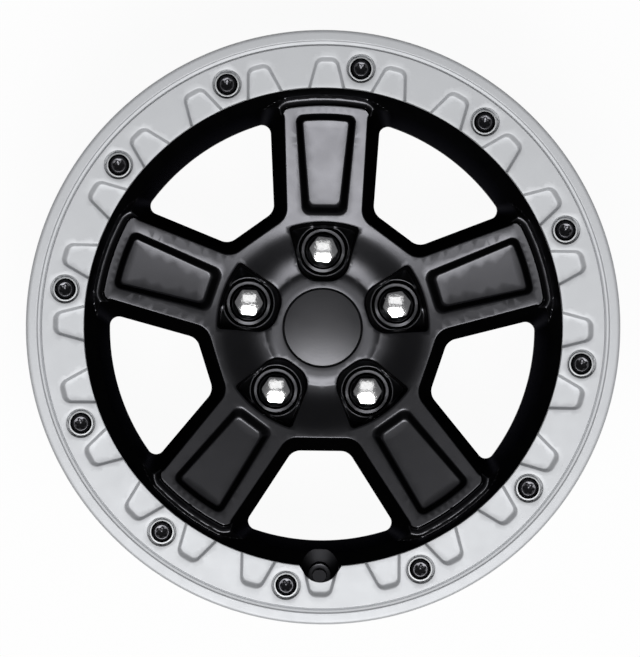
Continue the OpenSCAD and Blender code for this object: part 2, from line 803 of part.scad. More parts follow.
// Ring screws and their washers

module at_screw(i) {
    rotate([0, 0, -screw_turn - (i - 1) * 360 / screw_n]) translate([0, screw_pcr, 0]) children();
}

// Six-lobed socket
module socket_cutter() {
    lobe_share = 0.28;
    lobe_d = screw_socket_d * lobe_share;
    bevel = 0.6;
    bevel_w = 0.9;
    translate([0, 0, head_z + screw_head_h - screw_socket_depth]) {
        cylinder(d = screw_socket_d - lobe_d, h = screw_head_h);
        for (i = [0:5]) rotate([0, 0, i * 60])
            translate([(screw_socket_d - lobe_d) / 2, 0, 0]) cylinder(d = lobe_d, h = screw_head_h);
        translate([0, 0, screw_socket_depth - bevel])
            cylinder(d1 = screw_socket_d - bevel_w, d2 = screw_socket_d + 2 * bevel_w, h = bevel);
    }
}

module ring_screw(i) {
    edge = 1.6;
    tip = 1;
    color([0.07, 0.07, 0.08]) at_screw(i) difference() {
        rotate_extrude() polygon(concat(
            [[0, screw_tip_z], [screw_d / 2 - tip, screw_tip_z], [screw_d / 2, screw_tip_z + tip]],
            [[screw_d / 2, head_z], [screw_head_d / 2, head_z]],
            arc([screw_head_d / 2 - edge, head_z + screw_head_h - edge], edge, 0, 90),
            [[0, head_z + screw_head_h]]
        ));
        socket_cutter();
    }
}

module ring_washer(i) {
    color([0.74, 0.75, 0.76]) at_screw(i) translate([0, 0, washer_z]) difference() {
        cylinder(d = washer_d, h = washer_t);
        translate([0, 0, -PAST]) cylinder(d = screw_d + 2 * screw_fit, h = 2 * PAST);
    }
}

// Wheel nuts

module wheel_nut(i) {
    corner_r = nut_af / sqrt(3);
    top_z = nut_z + nut_len;
    side_z = top_z - nut_dome_h;
    nose = nut_fit * seat_tan;
    seat_end_z = nut_z + nut_seat_len;
    bore_len = nut_len - nut_dome_h;
    // The dome is a quarter of an ellipse, a little fuller at its side
    fullness = 0.8;
    color([0.86, 0.86, 0.87]) rotate([0, 0, -(i - 1) * SPOKE_STEP]) translate([0, stud_pcr, 0])
    rotate([0, 0, (i - 1) * SPOKE_STEP + NUT_TURNS[i - 1]]) difference() {
        union() {
            translate([0, 0, nut_z])
                cylinder(d1 = stud_hole_d, d2 = nut_seat_d, h = nut_seat_len);
            intersection() {
                translate([0, 0, seat_end_z - EPS]) cylinder(r = corner_r, h = nut_len, $fn = 6);
                rotate_extrude() polygon(concat(
                    [[0, nut_z], [nut_seat_d / 2, nut_z], [nut_seat_d / 2, seat_end_z]],
                    [[corner_r, seat_end_z + nose + SOFT], [corner_r, side_z]],
                    [for (k = [1:2 * CORNER_N])
                        let (a = 90 * k / (2 * CORNER_N))
                        [corner_r * pow(cos(a), fullness), side_z + nut_dome_h * sin(a)]]
                ));
            }
        }
        translate([0, 0, nut_z - EPS]) cylinder(d = stud_minor_d, h = bore_len);
    }
}

// Centre cap and its spring ring

module centre_cap() {
    edge_z = cap_seat_z + cap_t;
    tip_len = 2;
    tip_z = cap_bore_z - hook_len - tip_len;
    hook_z = cap_bore_z - cap_fit;
    edge_round = 0.6;
    r = cap_d / 2;
    dome_r = (r * r + cap_crown * cap_crown) / 2 / cap_crown;
    color([0.13, 0.13, 0.14]) difference() {
        rotate_extrude() polygon(concat(
            [[0, cap_seat_z], [finger_r - finger_t, cap_seat_z], [finger_r - finger_t, tip_z]],
            [[finger_r, tip_z], [finger_r + hook_out, hook_z - hook_len / 2]],
            [[finger_r + hook_out, hook_z - SOFT], [finger_r, hook_z], [finger_r, cap_seat_z]],
            [[r, cap_seat_z], [r, edge_z - edge_round]],
            // Shallow spherical crown
            [for (i = [0:ARC_N])
                let (x = (r - edge_round) * (1 - i / ARC_N))
                [x, edge_z + cap_crown - dome_r + sqrt(dome_r * dome_r - x * x)]]
        ));
        around(finger_n) translate([0, finger_r, (tip_z + cap_seat_z) / 2 - PAST / 2])
            cube([finger_slot, 4 * finger_t, cap_seat_z - tip_z - PAST], center = true);
    }
}

module cap_spring_ring() {
    wire_r = spring_wire_d / 2;
    spring_fit = 0.1;
    ring_radius = finger_r - finger_t - wire_r - spring_fit;
    gap_angle = 14;
    color([0.6, 0.6, 0.62]) translate([0, 0, cap_bore_z - hook_len / 2])
        rotate([0, 0, gap_angle / 2]) rotate_extrude(angle = 360 - gap_angle)
            translate([ring_radius, 0]) circle(r = wire_r);
}

wheel_casting();
clamp_ring();
centre_cap();
cap_spring_ring();
for (i = SCREWS) ring_screw(i);
for (i = SCREWS) ring_washer(i);
for (i = NUTS) wheel_nut(i);
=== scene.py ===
"""Beadlock wheel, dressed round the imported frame.

The casting and the clamp ring are worked out as grids. A pocket or a window is a
profile carried along its outline, and the faces between them are filled with Delaunay
triangles that share the outlines' own points. One half of a spoke's sector is made,
mirrored and turned five times. One tooth's sector of the ring, with half a screw's bore
on its left, is turned 12 times, and so is its mirror image. Lengths are in millimetres
until a mesh is made, the axis is Z, and a spoke's sector is worked out about +Y.
"""

import math

import bmesh
import bpy
import numpy as np
from mathutils import Matrix, Vector
from mathutils.geometry import delaunay_2d_cdt


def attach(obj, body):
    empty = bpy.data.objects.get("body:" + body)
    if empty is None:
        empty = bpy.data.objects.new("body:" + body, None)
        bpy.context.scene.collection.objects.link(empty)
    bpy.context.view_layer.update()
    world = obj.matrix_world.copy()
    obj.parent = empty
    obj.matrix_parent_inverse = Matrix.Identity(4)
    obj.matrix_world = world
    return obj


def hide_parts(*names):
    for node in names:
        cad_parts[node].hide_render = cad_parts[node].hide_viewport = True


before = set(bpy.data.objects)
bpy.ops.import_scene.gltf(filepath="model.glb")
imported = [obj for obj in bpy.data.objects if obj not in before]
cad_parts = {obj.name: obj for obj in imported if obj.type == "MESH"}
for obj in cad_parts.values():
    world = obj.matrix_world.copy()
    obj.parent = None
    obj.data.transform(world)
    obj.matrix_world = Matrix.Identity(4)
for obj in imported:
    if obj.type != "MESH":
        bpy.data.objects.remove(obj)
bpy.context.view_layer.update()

MM = 0.001
SPOKES = 5
SECTOR = math.radians(36)
STEP = math.radians(1.5)

# Levels and radii of the casting. The half width of a spoke's face goes from its inner
# to its outer value between FACE_IN_Y and FACE_R.
FRONT_Z = 100.0
FACE_IN_Y = 92.0
FACE_R = 179.4
FACE_LENGTH = FACE_R - FACE_IN_Y
FACE_OUT_Z = 88.0
FACE_SLOPE = 16 / FACE_LENGTH
FACE_HW_IN, FACE_HW_OUT = 31.1, 34.1
NECK_R = 173.0
NECK_Z = 54.0
NECK_EDGE_Z = 58.0
NECK_SLOPE = 0.19
SPIGOT_R = 192.1
SPIGOT_IN_R = 190.5
SPIGOT_Z = 93.0
STUD_PCR = 63.5
BACK_R = 180.0
BACK_Z = 38.0


def unit(v):
    return v / np.linalg.norm(v)


def fillet(p0, p1, p2, steps):
    """Curve from p0 to p2 that bends at p1: (1-t)^2 p0 + 2 t (1-t) p1 + t^2 p2."""
    t = np.linspace(0, 1, steps + 1).reshape([-1] + [1] * np.ndim(p0))
    return (1 - t) ** 2 * p0 + 2 * t * (1 - t) * p1 + t**2 * p2


def rounded(points, cut, steps=3):
    """Open polyline with each inner corner rounded, starting cut before the corner
    or at 45% of the shorter side."""
    p = np.array(points, float)
    out = [p[:1]]
    for k in range(1, len(p) - 1):
        before, after = p[k - 1] - p[k], p[k + 1] - p[k]
        c = min(cut, 0.45 * np.linalg.norm(before), 0.45 * np.linalg.norm(after))
        out.append(fillet(p[k] + unit(before) * c, p[k], p[k] + unit(after) * c, steps))
    out.append(p[-1:])
    return np.concatenate(out)


def softened(points, width):
    """Function of one variable through the points, averaged over a window of that width."""
    p = np.array(points, float)
    step = 0.05
    x = np.arange(p[0, 0] - width, p[-1, 0] + width, step)
    y = np.interp(x, p[:, 0], p[:, 1])
    kernel = np.hanning(int(width / step) | 1)
    kernel /= kernel.sum()
    half = len(kernel) // 2
    smooth = np.convolve(np.pad(y, half, mode="edge"), kernel, mode="valid")
    return lambda v: np.interp(v, x, smooth)


def half_fan(y_in, a, b, r_out, corner_in, corner_out, counts, start_r=None):
    """Right half of a fan-shaped outline, from its inner edge to the top of its outer
    arc: a straight inner edge at y_in, a side through a and b, an arc of radius r_out
    about the axis, and both corners rounded by circles that touch their neighbours.
    With start_r the side starts on that circle instead of at an inner edge."""
    a, b = np.array(a, float), np.array(b, float)
    d = unit(b - a)
    inward = np.array([-d[1], d[0]])
    p = a + d * (y_in - a[1]) / d[1]
    n_edge, n_in, n_side, n_out, n_arc = counts
    q = p + corner_out * inward
    along = q @ d
    t_out = -along + math.sqrt(along**2 - q @ q + (r_out - corner_out) ** 2)
    centre_out = q + d * t_out
    side_end = p + d * t_out
    parts = []
    if start_r is None:
        t_in = corner_in * (1 - inward[1]) / d[1]
        centre_in = p + d * t_in + corner_in * inward
        edge_end = np.array([centre_in[0], y_in])
        side_start = p + d * t_in
        parts.append(np.linspace([0, y_in], edge_end, n_edge + 1)[:-1])
        low = -math.pi / 2
        high = math.atan2(-inward[1], -inward[0])
        turn = np.linspace(low, high, n_in + 1)[:-1]
        parts.append(centre_in + corner_in * np.stack([np.cos(turn), np.sin(turn)], -1))
    else:
        along = p @ d
        side_start = p + d * (-along + math.sqrt(along**2 - p @ p + start_r**2))
    parts.append(np.linspace(side_start, side_end, n_side + 1)[:-1])
    low = math.atan2(-inward[1], -inward[0])
    high = math.atan2(centre_out[1], centre_out[0])
    turn = np.linspace(low, high, n_out + 1)[:-1]
    parts.append(centre_out + corner_out * np.stack([np.cos(turn), np.sin(turn)], -1))
    turn = np.linspace(high, math.pi / 2, n_arc + 1)
    parts.append(r_out * np.stack([np.cos(turn), np.sin(turn)], -1))
    outline = np.concatenate(parts)
    outline[-1, 0] = 0
    if start_r is None:
        outline[0, 0] = 0
    return outline


def normals(outline):
    """Unit normals of an open plan outline, to the right of its direction."""
    t = np.gradient(outline, axis=0)
    n = np.stack([t[:, 1], -t[:, 0]], -1)
    return n / np.linalg.norm(n, axis=1, keepdims=True)


def turned(p, angle):
    """Plan points turned clockwise by an angle about the axis."""
    c, s = math.cos(angle), math.sin(angle)
    out = np.array(p, float)
    x, y = out[..., 0].copy(), out[..., 1].copy()
    out[..., 0] = x * c + y * s
    out[..., 1] = -x * s + y * c
    return out


def mirrored(p):
    out = np.array(p, float)
    out[..., 0] *= -1
    return out


def with_z(plan, z):
    return np.concatenate([plan, np.broadcast_to(z, plan.shape[:-1])[..., None]], -1)


def radius(p):
    return np.hypot(p[..., 0], p[..., 1])


def ring_arc(r, z, start, end, step=STEP):
    """Points on a circle about the axis, by clock angle from +Y."""
    n = int(round(abs(end - start) / step))
    t = np.linspace(start, end, n + 1)
    return np.stack([r * np.sin(t), r * np.cos(t), np.full_like(t, z)], -1)


def spoke_line(height, angle, r0, r1, spacing):
    """Points between two radii on the ray at a clock angle, ends left out."""
    n = max(int(round(abs(r1 - r0) / spacing)), 1)
    r = np.linspace(r0, r1, n + 1)[1:-1]
    p = np.stack([r * math.sin(angle), r * math.cos(angle)], -1)
    return with_z(p, height(p))


def on_ray(rows, column, angle):
    """Rows with one column moved onto the ray at a clock angle, at the same radius."""
    r = radius(rows[:, column])
    rows[:, column, 0], rows[:, column, 1] = r * math.sin(angle), r * math.cos(angle)
    return rows


def inside(points, loop):
    """Which plan points lie inside a closed loop, by counting crossings."""
    x, y = points[:, :1], points[:, 1:2]
    x0, y0 = loop[:, 0], loop[:, 1]
    x1, y1 = np.roll(x0, -1), np.roll(y0, -1)
    crosses = (y0 > y) != (y1 > y)
    with np.errstate(divide="ignore", invalid="ignore"):
        at = x0 + (y - y0) / (y1 - y0) * (x1 - x0)
    return (crosses & (x < at)).sum(1) % 2 == 1


def honeycomb(loop, spacing):
    """Plan points in a triangular pattern over the box of a loop."""
    low, high = loop[:, :2].min(0), loop[:, :2].max(0)
    rows = np.arange(low[1], high[1], spacing * math.sqrt(3) / 2)
    columns = np.arange(low[0], high[0], spacing)
    x = columns[None, :] + (np.arange(len(rows)) % 2)[:, None] * spacing / 2
    return np.stack([x, np.broadcast_to(rows[:, None], x.shape)], -1).reshape(-1, 2)


class Shell:
    """Points and faces in millimetres, gathered from grids and fills."""

    def __init__(self):
        self.points = []
        self.faces = []
        self.count = 0

    def add(self, points, faces):
        self.points.append(points)
        self.faces.extend((np.asarray(faces) + self.count).tolist())
        self.count += len(points)

    def grid(self, p):
        """Rows by columns of points, joined by four-sided faces."""
        rows, columns = p.shape[:2]
        i = np.arange(rows * columns).reshape(rows, columns)
        quads = np.stack([i[:-1, :-1], i[:-1, 1:], i[1:, 1:], i[1:, :-1]], -1)
        self.add(p.reshape(-1, 3), quads.reshape(-1, 4))

    def fill(self, loop, inner, gap, height):
        """Triangles inside a closed loop, over its points and the inner plan points
        that lie inside it and at least gap away."""
        loop = np.asarray(loop)
        inner = inner[inside(inner, loop)]
        if len(inner):
            apart = np.hypot(
                inner[:, None, 0] - loop[None, :, 0], inner[:, None, 1] - loop[None, :, 1]
            )
            inner = inner[apart.min(1) > gap]
        plan = np.concatenate([loop[:, :2], inner])
        verts, _, faces, origins, _, _ = delaunay_2d_cdt(
            [Vector(p) for p in plan], [], [list(range(len(loop)))], 1, 1e-7
        )
        p = np.array([(v.x, v.y) for v in verts])
        z = height(p)
        first = np.array([ids[0] if ids else len(loop) for ids in origins])
        on_loop = first < len(loop)
        z[on_loop] = loop[first[on_loop], 2]
        self.add(with_z(p, z), [list(f) for f in faces])

    def repeated(self, changes):
        """This shell once for each change of its points."""
        out = Shell()
        points = np.concatenate(self.points)
        faces = self.faces
        for change in changes:
            out.points.append(change(points))
            out.faces.extend([[v + out.count for v in f] for f in faces])
            out.count += len(points)
        return out

    def mesh(self, name, sharp=40.0):
        """One closed mesh: doubles merged, faces outwards, smooth but for sharp edges."""
        data = bpy.data.meshes.new(name)
        points = np.concatenate(self.points) * MM
        data.from_pydata(points.tolist(), [], self.faces)
        bm = bmesh.new()
        bm.from_mesh(data)
        bmesh.ops.remove_doubles(bm, verts=bm.verts, dist=2e-6)
        bmesh.ops.dissolve_degenerate(bm, edges=bm.edges, dist=1e-6)
        bmesh.ops.recalc_face_normals(bm, faces=bm.faces)
        bm.to_mesh(data)
        bm.free()
        data.shade_smooth()
        data.set_sharp_from_angle(angle=math.radians(sharp))
        obj = bpy.data.objects.new(name, data)
        bpy.context.scene.collection.objects.link(obj)
        return obj


# Casting: the surfaces that the pockets and windows are cut in

def integrated(table, anchor_r, anchor_z):
    """Height over radius from a table of slopes in degrees, set to pass the anchor."""
    r = np.arange(table[0][0], table[-1][0] + 0.05, 0.1)
    slope = np.tan(np.radians(np.interp(r, *zip(*table))))
    z = np.concatenate([[0], np.cumsum((slope[1:] + slope[:-1]) / 2 * np.diff(r))])
    return r, z - np.interp(anchor_r, r, z) + anchor_z


FACE_ANGLE = math.degrees(math.atan(FACE_SLOPE))
HUB_SLOPES = [
    (30.0, 0), (39.0, 0), (46.6, -17), (47.8, 4), (57.0, 15), (66.0, 30), (76.0, 30),
    (86.5, FACE_ANGLE), (182.0, FACE_ANGLE),
]
FACE_PROFILE = integrated(HUB_SLOPES, FACE_R, FACE_OUT_Z)
HUB_Z = float(FACE_PROFILE[1][0])

# Past the end of a spoke's face: groove, ridge and fall by distance from that end, and
# the rise to the spigot by distance past its arc
END_PROFILE = softened([
    (-3.0, 0), (0.2, 0), (0.8, -2.6), (1.5, -5.2), (4.2, -2.95), (5.1, -2.45), (6.3, -2.15),
    (6.9, -2.4), (8.8, -4.2), (20.0, -15.4),
], 0.8)
RISE_PROFILE = softened([(3.0, -15.1), (8.8, -4.2), (13.5, 4.6), (14.0, 5.0), (15.0, 5.0)], 0.8)
CORNER = 4.6
END_R = FACE_R - 1.1
END_SPREAD = 0.4
# The end lines past this distance don't go round the face's corner
BEND_LIMIT = 7.0


def side_x(y):
    """Half width of the rectangle whose corners the end profile goes round."""
    taper = (FACE_HW_OUT - FACE_HW_IN) / FACE_LENGTH
    return FACE_HW_IN + (y - FACE_IN_Y) * taper + END_SPREAD


def past_the_end(p):
    """Distance of plan points past a spoke's end, taken as a rectangle with two round
    corners, and their distance past its arc alone."""
    r = radius(p)
    angle = np.arctan2(p[..., 0], p[..., 1])
    # fold the point into the sector of its own spoke
    local = angle - 2 * SECTOR * np.round(angle / (2 * SECTOR))
    u = np.abs(r * np.sin(local)) - side_x(r * np.cos(local))
    v = r - END_R
    q = np.hypot(np.maximum(u + CORNER, 0), np.maximum(v + CORNER, 0)) - CORNER
    return np.where((u > -CORNER) & (v > -CORNER), q, v), v


def top_z(p):
    """Height of the casting's front: a cone with a softly curved hollow round the hub,
    and past a spoke's end the higher of the end profile and the rise."""
    z = np.minimum(np.interp(radius(p), *FACE_PROFILE), FACE_OUT_Z)
    d, v = past_the_end(p)
    return z + np.where(v > -CORNER, np.maximum(END_PROFILE(d), RISE_PROFILE(v)), 0)


def end_line(d):
    """Plan points at the distance d past a spoke's end: along its arc and round the
    corner of the face, then on towards the window's middle."""
    r_in = END_R - CORNER
    corner_y = math.sqrt(r_in**2 - (side_x(r_in) - CORNER) ** 2)
    corner = np.array([side_x(corner_y) - CORNER, corner_y])
    start = math.atan2(corner[0], corner[1])
    t = np.arange(0, start, 2.0 / END_R)[1:]
    arc = (END_R + d) * np.stack([np.sin(t), np.cos(t)], -1)
    t = np.linspace(start, start + math.radians(100), 16)
    bend = corner + (CORNER + d) * np.stack([np.sin(t), np.cos(t)], -1)
    return np.concatenate([arc, bend]) if d < BEND_LIMIT else arc


def beyond_the_corner():
    """Plan points between the ridge round a spoke's corner and the spigot."""
    along = np.concatenate([
        np.arange(2.0, 27.0, 2.3), np.arange(28.0, 60.0, 1.0), np.arange(62.0, 112.0, 2.5),
    ])
    t = along / END_R
    d = np.append(np.arange(0.0, 12.9, 0.75), 13.3)[:, None, None]
    out = ((END_R + d) * np.stack([np.sin(t), np.cos(t)], -1)).reshape(-1, 2)
    return out[past_the_end(out)[0] > BEND_LIMIT + 0.3]


BACK_PROFILE = softened([
    (30, 0), (78.5, 0), (80, 1.0), (86, 12.2), (100, 24.5), (171, 42.8), (173, 44.6),
    (175, 44.4), (180, 38), (191.5, 14),
], 3.0)


def back_z(p):
    return BACK_PROFILE(radius(p))


def face_cone(p):
    return FACE_OUT_Z + (radius(p) - FACE_R) * FACE_SLOPE


# Casting: windows

# Half widths of a spoke at the window's narrowest line, at two distances along it
WINDOW_Y_IN, WINDOW_Y_OUT = 104.0, 168.0
SPOKE_HW_IN, SPOKE_HW_OUT = 41.0, 44.7
WINDOW_IN = 100.2
WINDOW_TOP_IN = 89.5
WINDOW_COUNTS = (10, 14, 26, 26, 14)
WALL_TOP_Z = 105.0
FRONT_GAP = 0.03


def beside(hw, y):
    """Point beside a spoke, in the frame of the window."""
    c, s = math.cos(SECTOR), math.sin(SECTOR)
    return [-hw * c + y * s, hw * s + y * c]


def neck_z(y):
    return NECK_EDGE_Z - (NECK_R - y) * NECK_SLOPE


def window_lines():
    """Narrowest outline of a window, and the wide outline above the wheel that the wall
    would reach if it went on straight past the front face's edge:
    wide = narrow + (face - narrow) (WALL_TOP_Z - height of narrow) / (rise to the face)."""
    def raised(edge_v, face_v, edge_h, face_h):
        return edge_v + (face_v - edge_v) * (WALL_TOP_Z - edge_h) / (face_h - edge_h)

    def cone_z(y):
        return FACE_OUT_Z + (y - FACE_R) * FACE_SLOPE

    y_in, y_out = WINDOW_Y_IN, WINDOW_Y_OUT
    edge_in = raised(SPOKE_HW_IN, FACE_HW_IN, neck_z(y_in), cone_z(y_in))
    edge_out = raised(SPOKE_HW_OUT, FACE_HW_OUT, neck_z(y_out), cone_z(y_out))
    top_in = raised(WINDOW_IN, WINDOW_TOP_IN, neck_z(WINDOW_IN), cone_z(WINDOW_TOP_IN))
    top_r = raised(NECK_R, SPIGOT_IN_R, NECK_Z, SPIGOT_Z)
    narrow = half_fan(WINDOW_IN, beside(SPOKE_HW_IN, y_in), beside(SPOKE_HW_OUT, y_out),
                      NECK_R, 12.0, 7.2, WINDOW_COUNTS)
    wide = half_fan(top_in, beside(edge_in, y_in), beside(edge_out, y_out),
                    top_r, 18.0, 20.0, WINDOW_COUNTS)
    low = with_z(narrow, np.minimum(NECK_Z, neck_z(narrow[:, 1])))
    high = with_z(wide, WALL_TOP_Z)
    return turned(mirrored(low), SECTOR), turned(mirrored(high), SECTOR)


def front_edge(low, high):
    """Highest point of each line from low to high that lies under the front face, by
    trying 400 steps and a straight line within the last one."""
    def over(p):
        return top_z(p) + FRONT_GAP - p[..., 2]

    s = np.linspace(0, 1, 401)[:, None, None]
    line = low + (high - low) * s
    under = over(line) > 0
    last = under.shape[0] - 1 - np.argmax(under[::-1], axis=0)
    k = np.clip(last, 0, 399)
    i = np.arange(low.shape[0])
    g0, g1 = over(line[k, i]), over(line[k + 1, i])
    f = np.clip(g0 / (g0 - g1), 0, 1)[:, None]
    return line[k, i] + (line[k + 1, i] - line[k, i]) * f


def outward(outline, middle):
    """Unit normals of a plan outline that point away from the window's middle."""
    away = normals(outline)
    return away if ((outline - middle) * away).sum() > 0 else -away


def window_rows():
    """Rows of the window's wall, from the front face over the edge, down the slope to
    the narrowest line, straight down and round to the back face."""
    low, high = window_lines()
    edge = front_edge(low, high)
    middle = edge[:, :2].mean(0)
    soft = np.interp(radius(edge), [181, 189], [0.9, 0.35])[:, None]
    plan = edge[:, :2] + outward(edge[:, :2], middle) * soft
    outer = with_z(plan, top_z(plan))
    down = low - edge
    down /= np.linalg.norm(down, axis=1, keepdims=True)
    wall = edge + down * soft * 1.4
    t = np.array([0.12, 0.35, 0.6, 0.82, 0.95])[:, None, None]
    slope = wall + (low - wall) * t
    back_edge = low.copy()
    back_edge[:, 2] = back_z(low)
    back_plan = low[:, :2] + outward(low[:, :2], middle) * 1.2
    back_outer = with_z(back_plan, back_z(back_plan))
    back_up = back_edge + [0, 0, 1.4]
    straight = low + (back_up - low) * np.array([0.06, 0.5])[:, None, None]
    rows = np.concatenate([
        fillet(outer, edge, wall, 4), slope, low[None], straight,
        fillet(back_up, back_edge, back_outer, 3),
    ])
    return on_ray(on_ray(rows, 0, SECTOR), -1, SECTOR)


# Casting: pockets

def pocket_rows(top, floor, profile, counts, surface, start_r=None):
    """Rows of a pocket: its outline passes from the values of top to those of floor as
    the profile's first number goes from 0 to 1, and surface gives the height for the
    profile's second number, the share of the depth. An outline's values are its inner
    edge, two points of its side as x and y, its outer radius and its two corners."""
    top, floor = np.array(top, float), np.array(floor, float)
    rows = []
    for t, share in profile:
        y_in, ax, ay, bx, by, r_out, c_in, c_out = top + (floor - top) * t
        plan = half_fan(y_in, (ax, ay), (bx, by), r_out, max(c_in, 0.4), max(c_out, 0.4),
                        counts, start_r)
        rows.append(with_z(plan, surface(plan, share)))
    return np.stack(rows)


def wall_profile(before, top_soft, floor_soft, after, steps=4, between=2):
    """Profile across a wall: level, rounded over its edge, down, and rounded out."""
    a = fillet(np.array([-before, 0.0]), np.zeros(2), np.array([top_soft, top_soft]), steps)
    b = fillet(np.array([1 - floor_soft] * 2), np.ones(2), np.array([1 + after, 1.0]), steps)
    mid = np.linspace(a[-1], b[0], between + 1)[1:-1]
    return np.concatenate([a, mid, b])


def spoke_pocket():
    depth = 9.0
    top = (91.6, 17.7, 96, 23.6, 166, 171.6, 6.5, 5.5)
    floor = (98.6, 12.6, 96, 19.3, 166, 167.9, 5.0, 3.0)
    profile = wall_profile(0.22, 0.2, 0.22, 0.28, 4, 2)
    rows = pocket_rows(top, floor, profile, (5, 8, 22, 8, 8),
                       lambda p, share: face_cone(p) - depth * share)
    return rows, lambda p: face_cone(p) - depth


def channel():
    top_drop = 18.0
    top = (104.4, 25.0, 106, 28.2, 160, 166.2, 5.5, 5.5)
    floor = (106.0, 23.5, 106, 27.0, 160, 165.0, 4.0, 4.0)

    def surface(p, share):
        low = back_z(p)
        return low + (face_cone(p) - top_drop - low) * share

    profile = np.array([
        (-0.8, 0.0), (-0.25, 0.004), (0.0, 0.03), (0.1, 0.08), (0.5, 0.5), (0.9, 0.9),
        (1.3, 0.97), (2.6, 1.0),
    ])
    rows = pocket_rows(top, floor, profile, (5, 5, 14, 5, 6), surface)
    return rows, lambda p: face_cone(p) - top_drop


def relief():
    depth = 14.0
    top = (48.75, 9.0, 48.75, 15.0, STUD_PCR, 71.0, 5.0, 5.0)
    floor = (49.75, 8.0, 48.75, 14.0, STUD_PCR, 70.0, 4.0, 4.0)
    profile = np.array([
        (-1.0, 0.0), (-0.3, 0.01), (0.0, 0.07), (0.5, 0.5), (1.0, 0.92), (1.5, 0.98),
        (2.2, 1.0),
    ])
    rows = pocket_rows(top, floor, profile, (3, 4, 6, 4, 4), lambda p, share: depth * share)
    return turned(mirrored(rows), SECTOR), lambda p: np.full(p.shape[0], depth)


def nut_pocket():
    """Rows from the front face down the fan-shaped pocket, over the crest and the ledge
    round the nut, down its bore and seat to the stud hole and the back face. The floor
    falls outwards: z = crest's height - 0.62 (distance from the crest). From the floor
    on, each point lies on the line from the stud's axis to the outline."""
    centre = np.array([0, STUD_PCR])
    crest, crest_z, fall = 21.2, 43.0, 0.62
    top = (38.2, 17.0, 38.2, 27.8, 80, 85.0, 16.5, 3.0)
    floor = (39.2, 16.0, 38.2, 26.8, 80, 84.0, 15.5, 3.0)
    counts = (4, 12, 16, 7, 12)
    depth_profile = np.array([
        (-1.0, 0.0), (-0.55, 0.008), (-0.25, 0.03), (-0.05, 0.075), (0.1, 0.14),
        (0.4, 0.45), (0.8, 0.88), (0.9, 0.95), (1.3, 0.985), (2.1, 1.0),
    ])

    def surface(p, share):
        out = np.hypot(p[..., 0], p[..., 1] - STUD_PCR) - crest
        low = crest_z - fall * np.clip(out, 0, 14)
        return low + (top_z(p) - low) * (1 - share)

    rows = pocket_rows(top, floor, depth_profile, counts, surface)
    low = rows[-1, :, :2] - centre
    reach = np.hypot(low[:, 0], low[:, 1])
    way = low / reach[:, None]
    edge = np.minimum(0, reach - crest - 0.7)
    inner = []
    for r, z in (
        (21.6, 42.75), (21.2, 42.93), (20.8, 43.0), (20.4, 42.9), (20.0, 42.4),
        (19.6, 41.2), (18.0, 36.9), (17.75, 36.45), (17.4, 36.33), (15.9, 36.3),
        (15.4, 36.15), (15.2, 35.8), (15.1, 35.2), (14.8, 34.2), (13.9, 31.9),
        (13.7, 31.45), (13.4, 31.3), (12.7, 31.25), (12.4, 31.0), (7.6, 22.3), (7.5, 21.6),
        (7.5, 0.9), (7.7, 0.4), (8.3, 0.0),
    ):
        out = r + edge * np.clip((r - 19) / 2, 0, 1)
        inner.append(with_z(centre + way * out[:, None], z))
    rows = np.concatenate([rows, np.stack(inner)])
    rows[:, 0, 0] = 0
    rows[:, -1, 0] = 0
    return rows


# Casting: parts that are turned about the axis

def lathe(profile, start, end, step=STEP):
    """Grid of a profile of radius and height, turned between two clock angles."""
    return np.stack([ring_arc(r, z, start, end, step) for r, z in profile])


CAP_SEAT_Z = 54.0
BORE_STEP = math.radians(3)
BORE_PROFILE = np.concatenate([
    fillet(np.array([33.0, HUB_Z]), np.array([32.1, HUB_Z]), np.array([32.1, HUB_Z - 0.9]), 3),
    rounded([
        (32.1, HUB_Z - 1.5), (32.1, CAP_SEAT_Z), (29.5, CAP_SEAT_Z), (29.5, CAP_SEAT_Z - 18),
        (33.0, CAP_SEAT_Z - 18.6), (33.0, 20), (35.75, 20), (35.75, 0), (36.6, 0),
    ], 0.5, 2),
])

BARREL_PROFILE = rounded([
    (SPIGOT_R, SPIGOT_Z), (SPIGOT_R, 86), (218.3, 86), (218.3, 68), (233, 68), (233, 60.5),
    (224, 57), (202, 45.5), (198, 37), (198, -21), (212.3, -34), (212.3, -81.6),
    (217.8, -87.8), (217.8, -91), (216.6, -93.8), (218.3, -112), (221.3, -113.6),
    (236.3, -113.6), (236.3, -126.6), (230, -126.6), (225.8, -120.1), (214.8, -120.1),
    (208.6, -110.6), (205.8, -93.6), (205.8, -36), (191.5, -23), (191.5, 14),
    (BACK_R, BACK_Z),
], 5.0, 3)


def arcs(end, *groups):
    """Plan points on arcs from +Y to a clock angle, ends left out, for groups of radii
    with the spacing along each."""
    return np.concatenate([
        ring_arc(r, 0, 0, end, spacing / r)[1:-1, :2] for radii, spacing in groups for r in radii
    ])


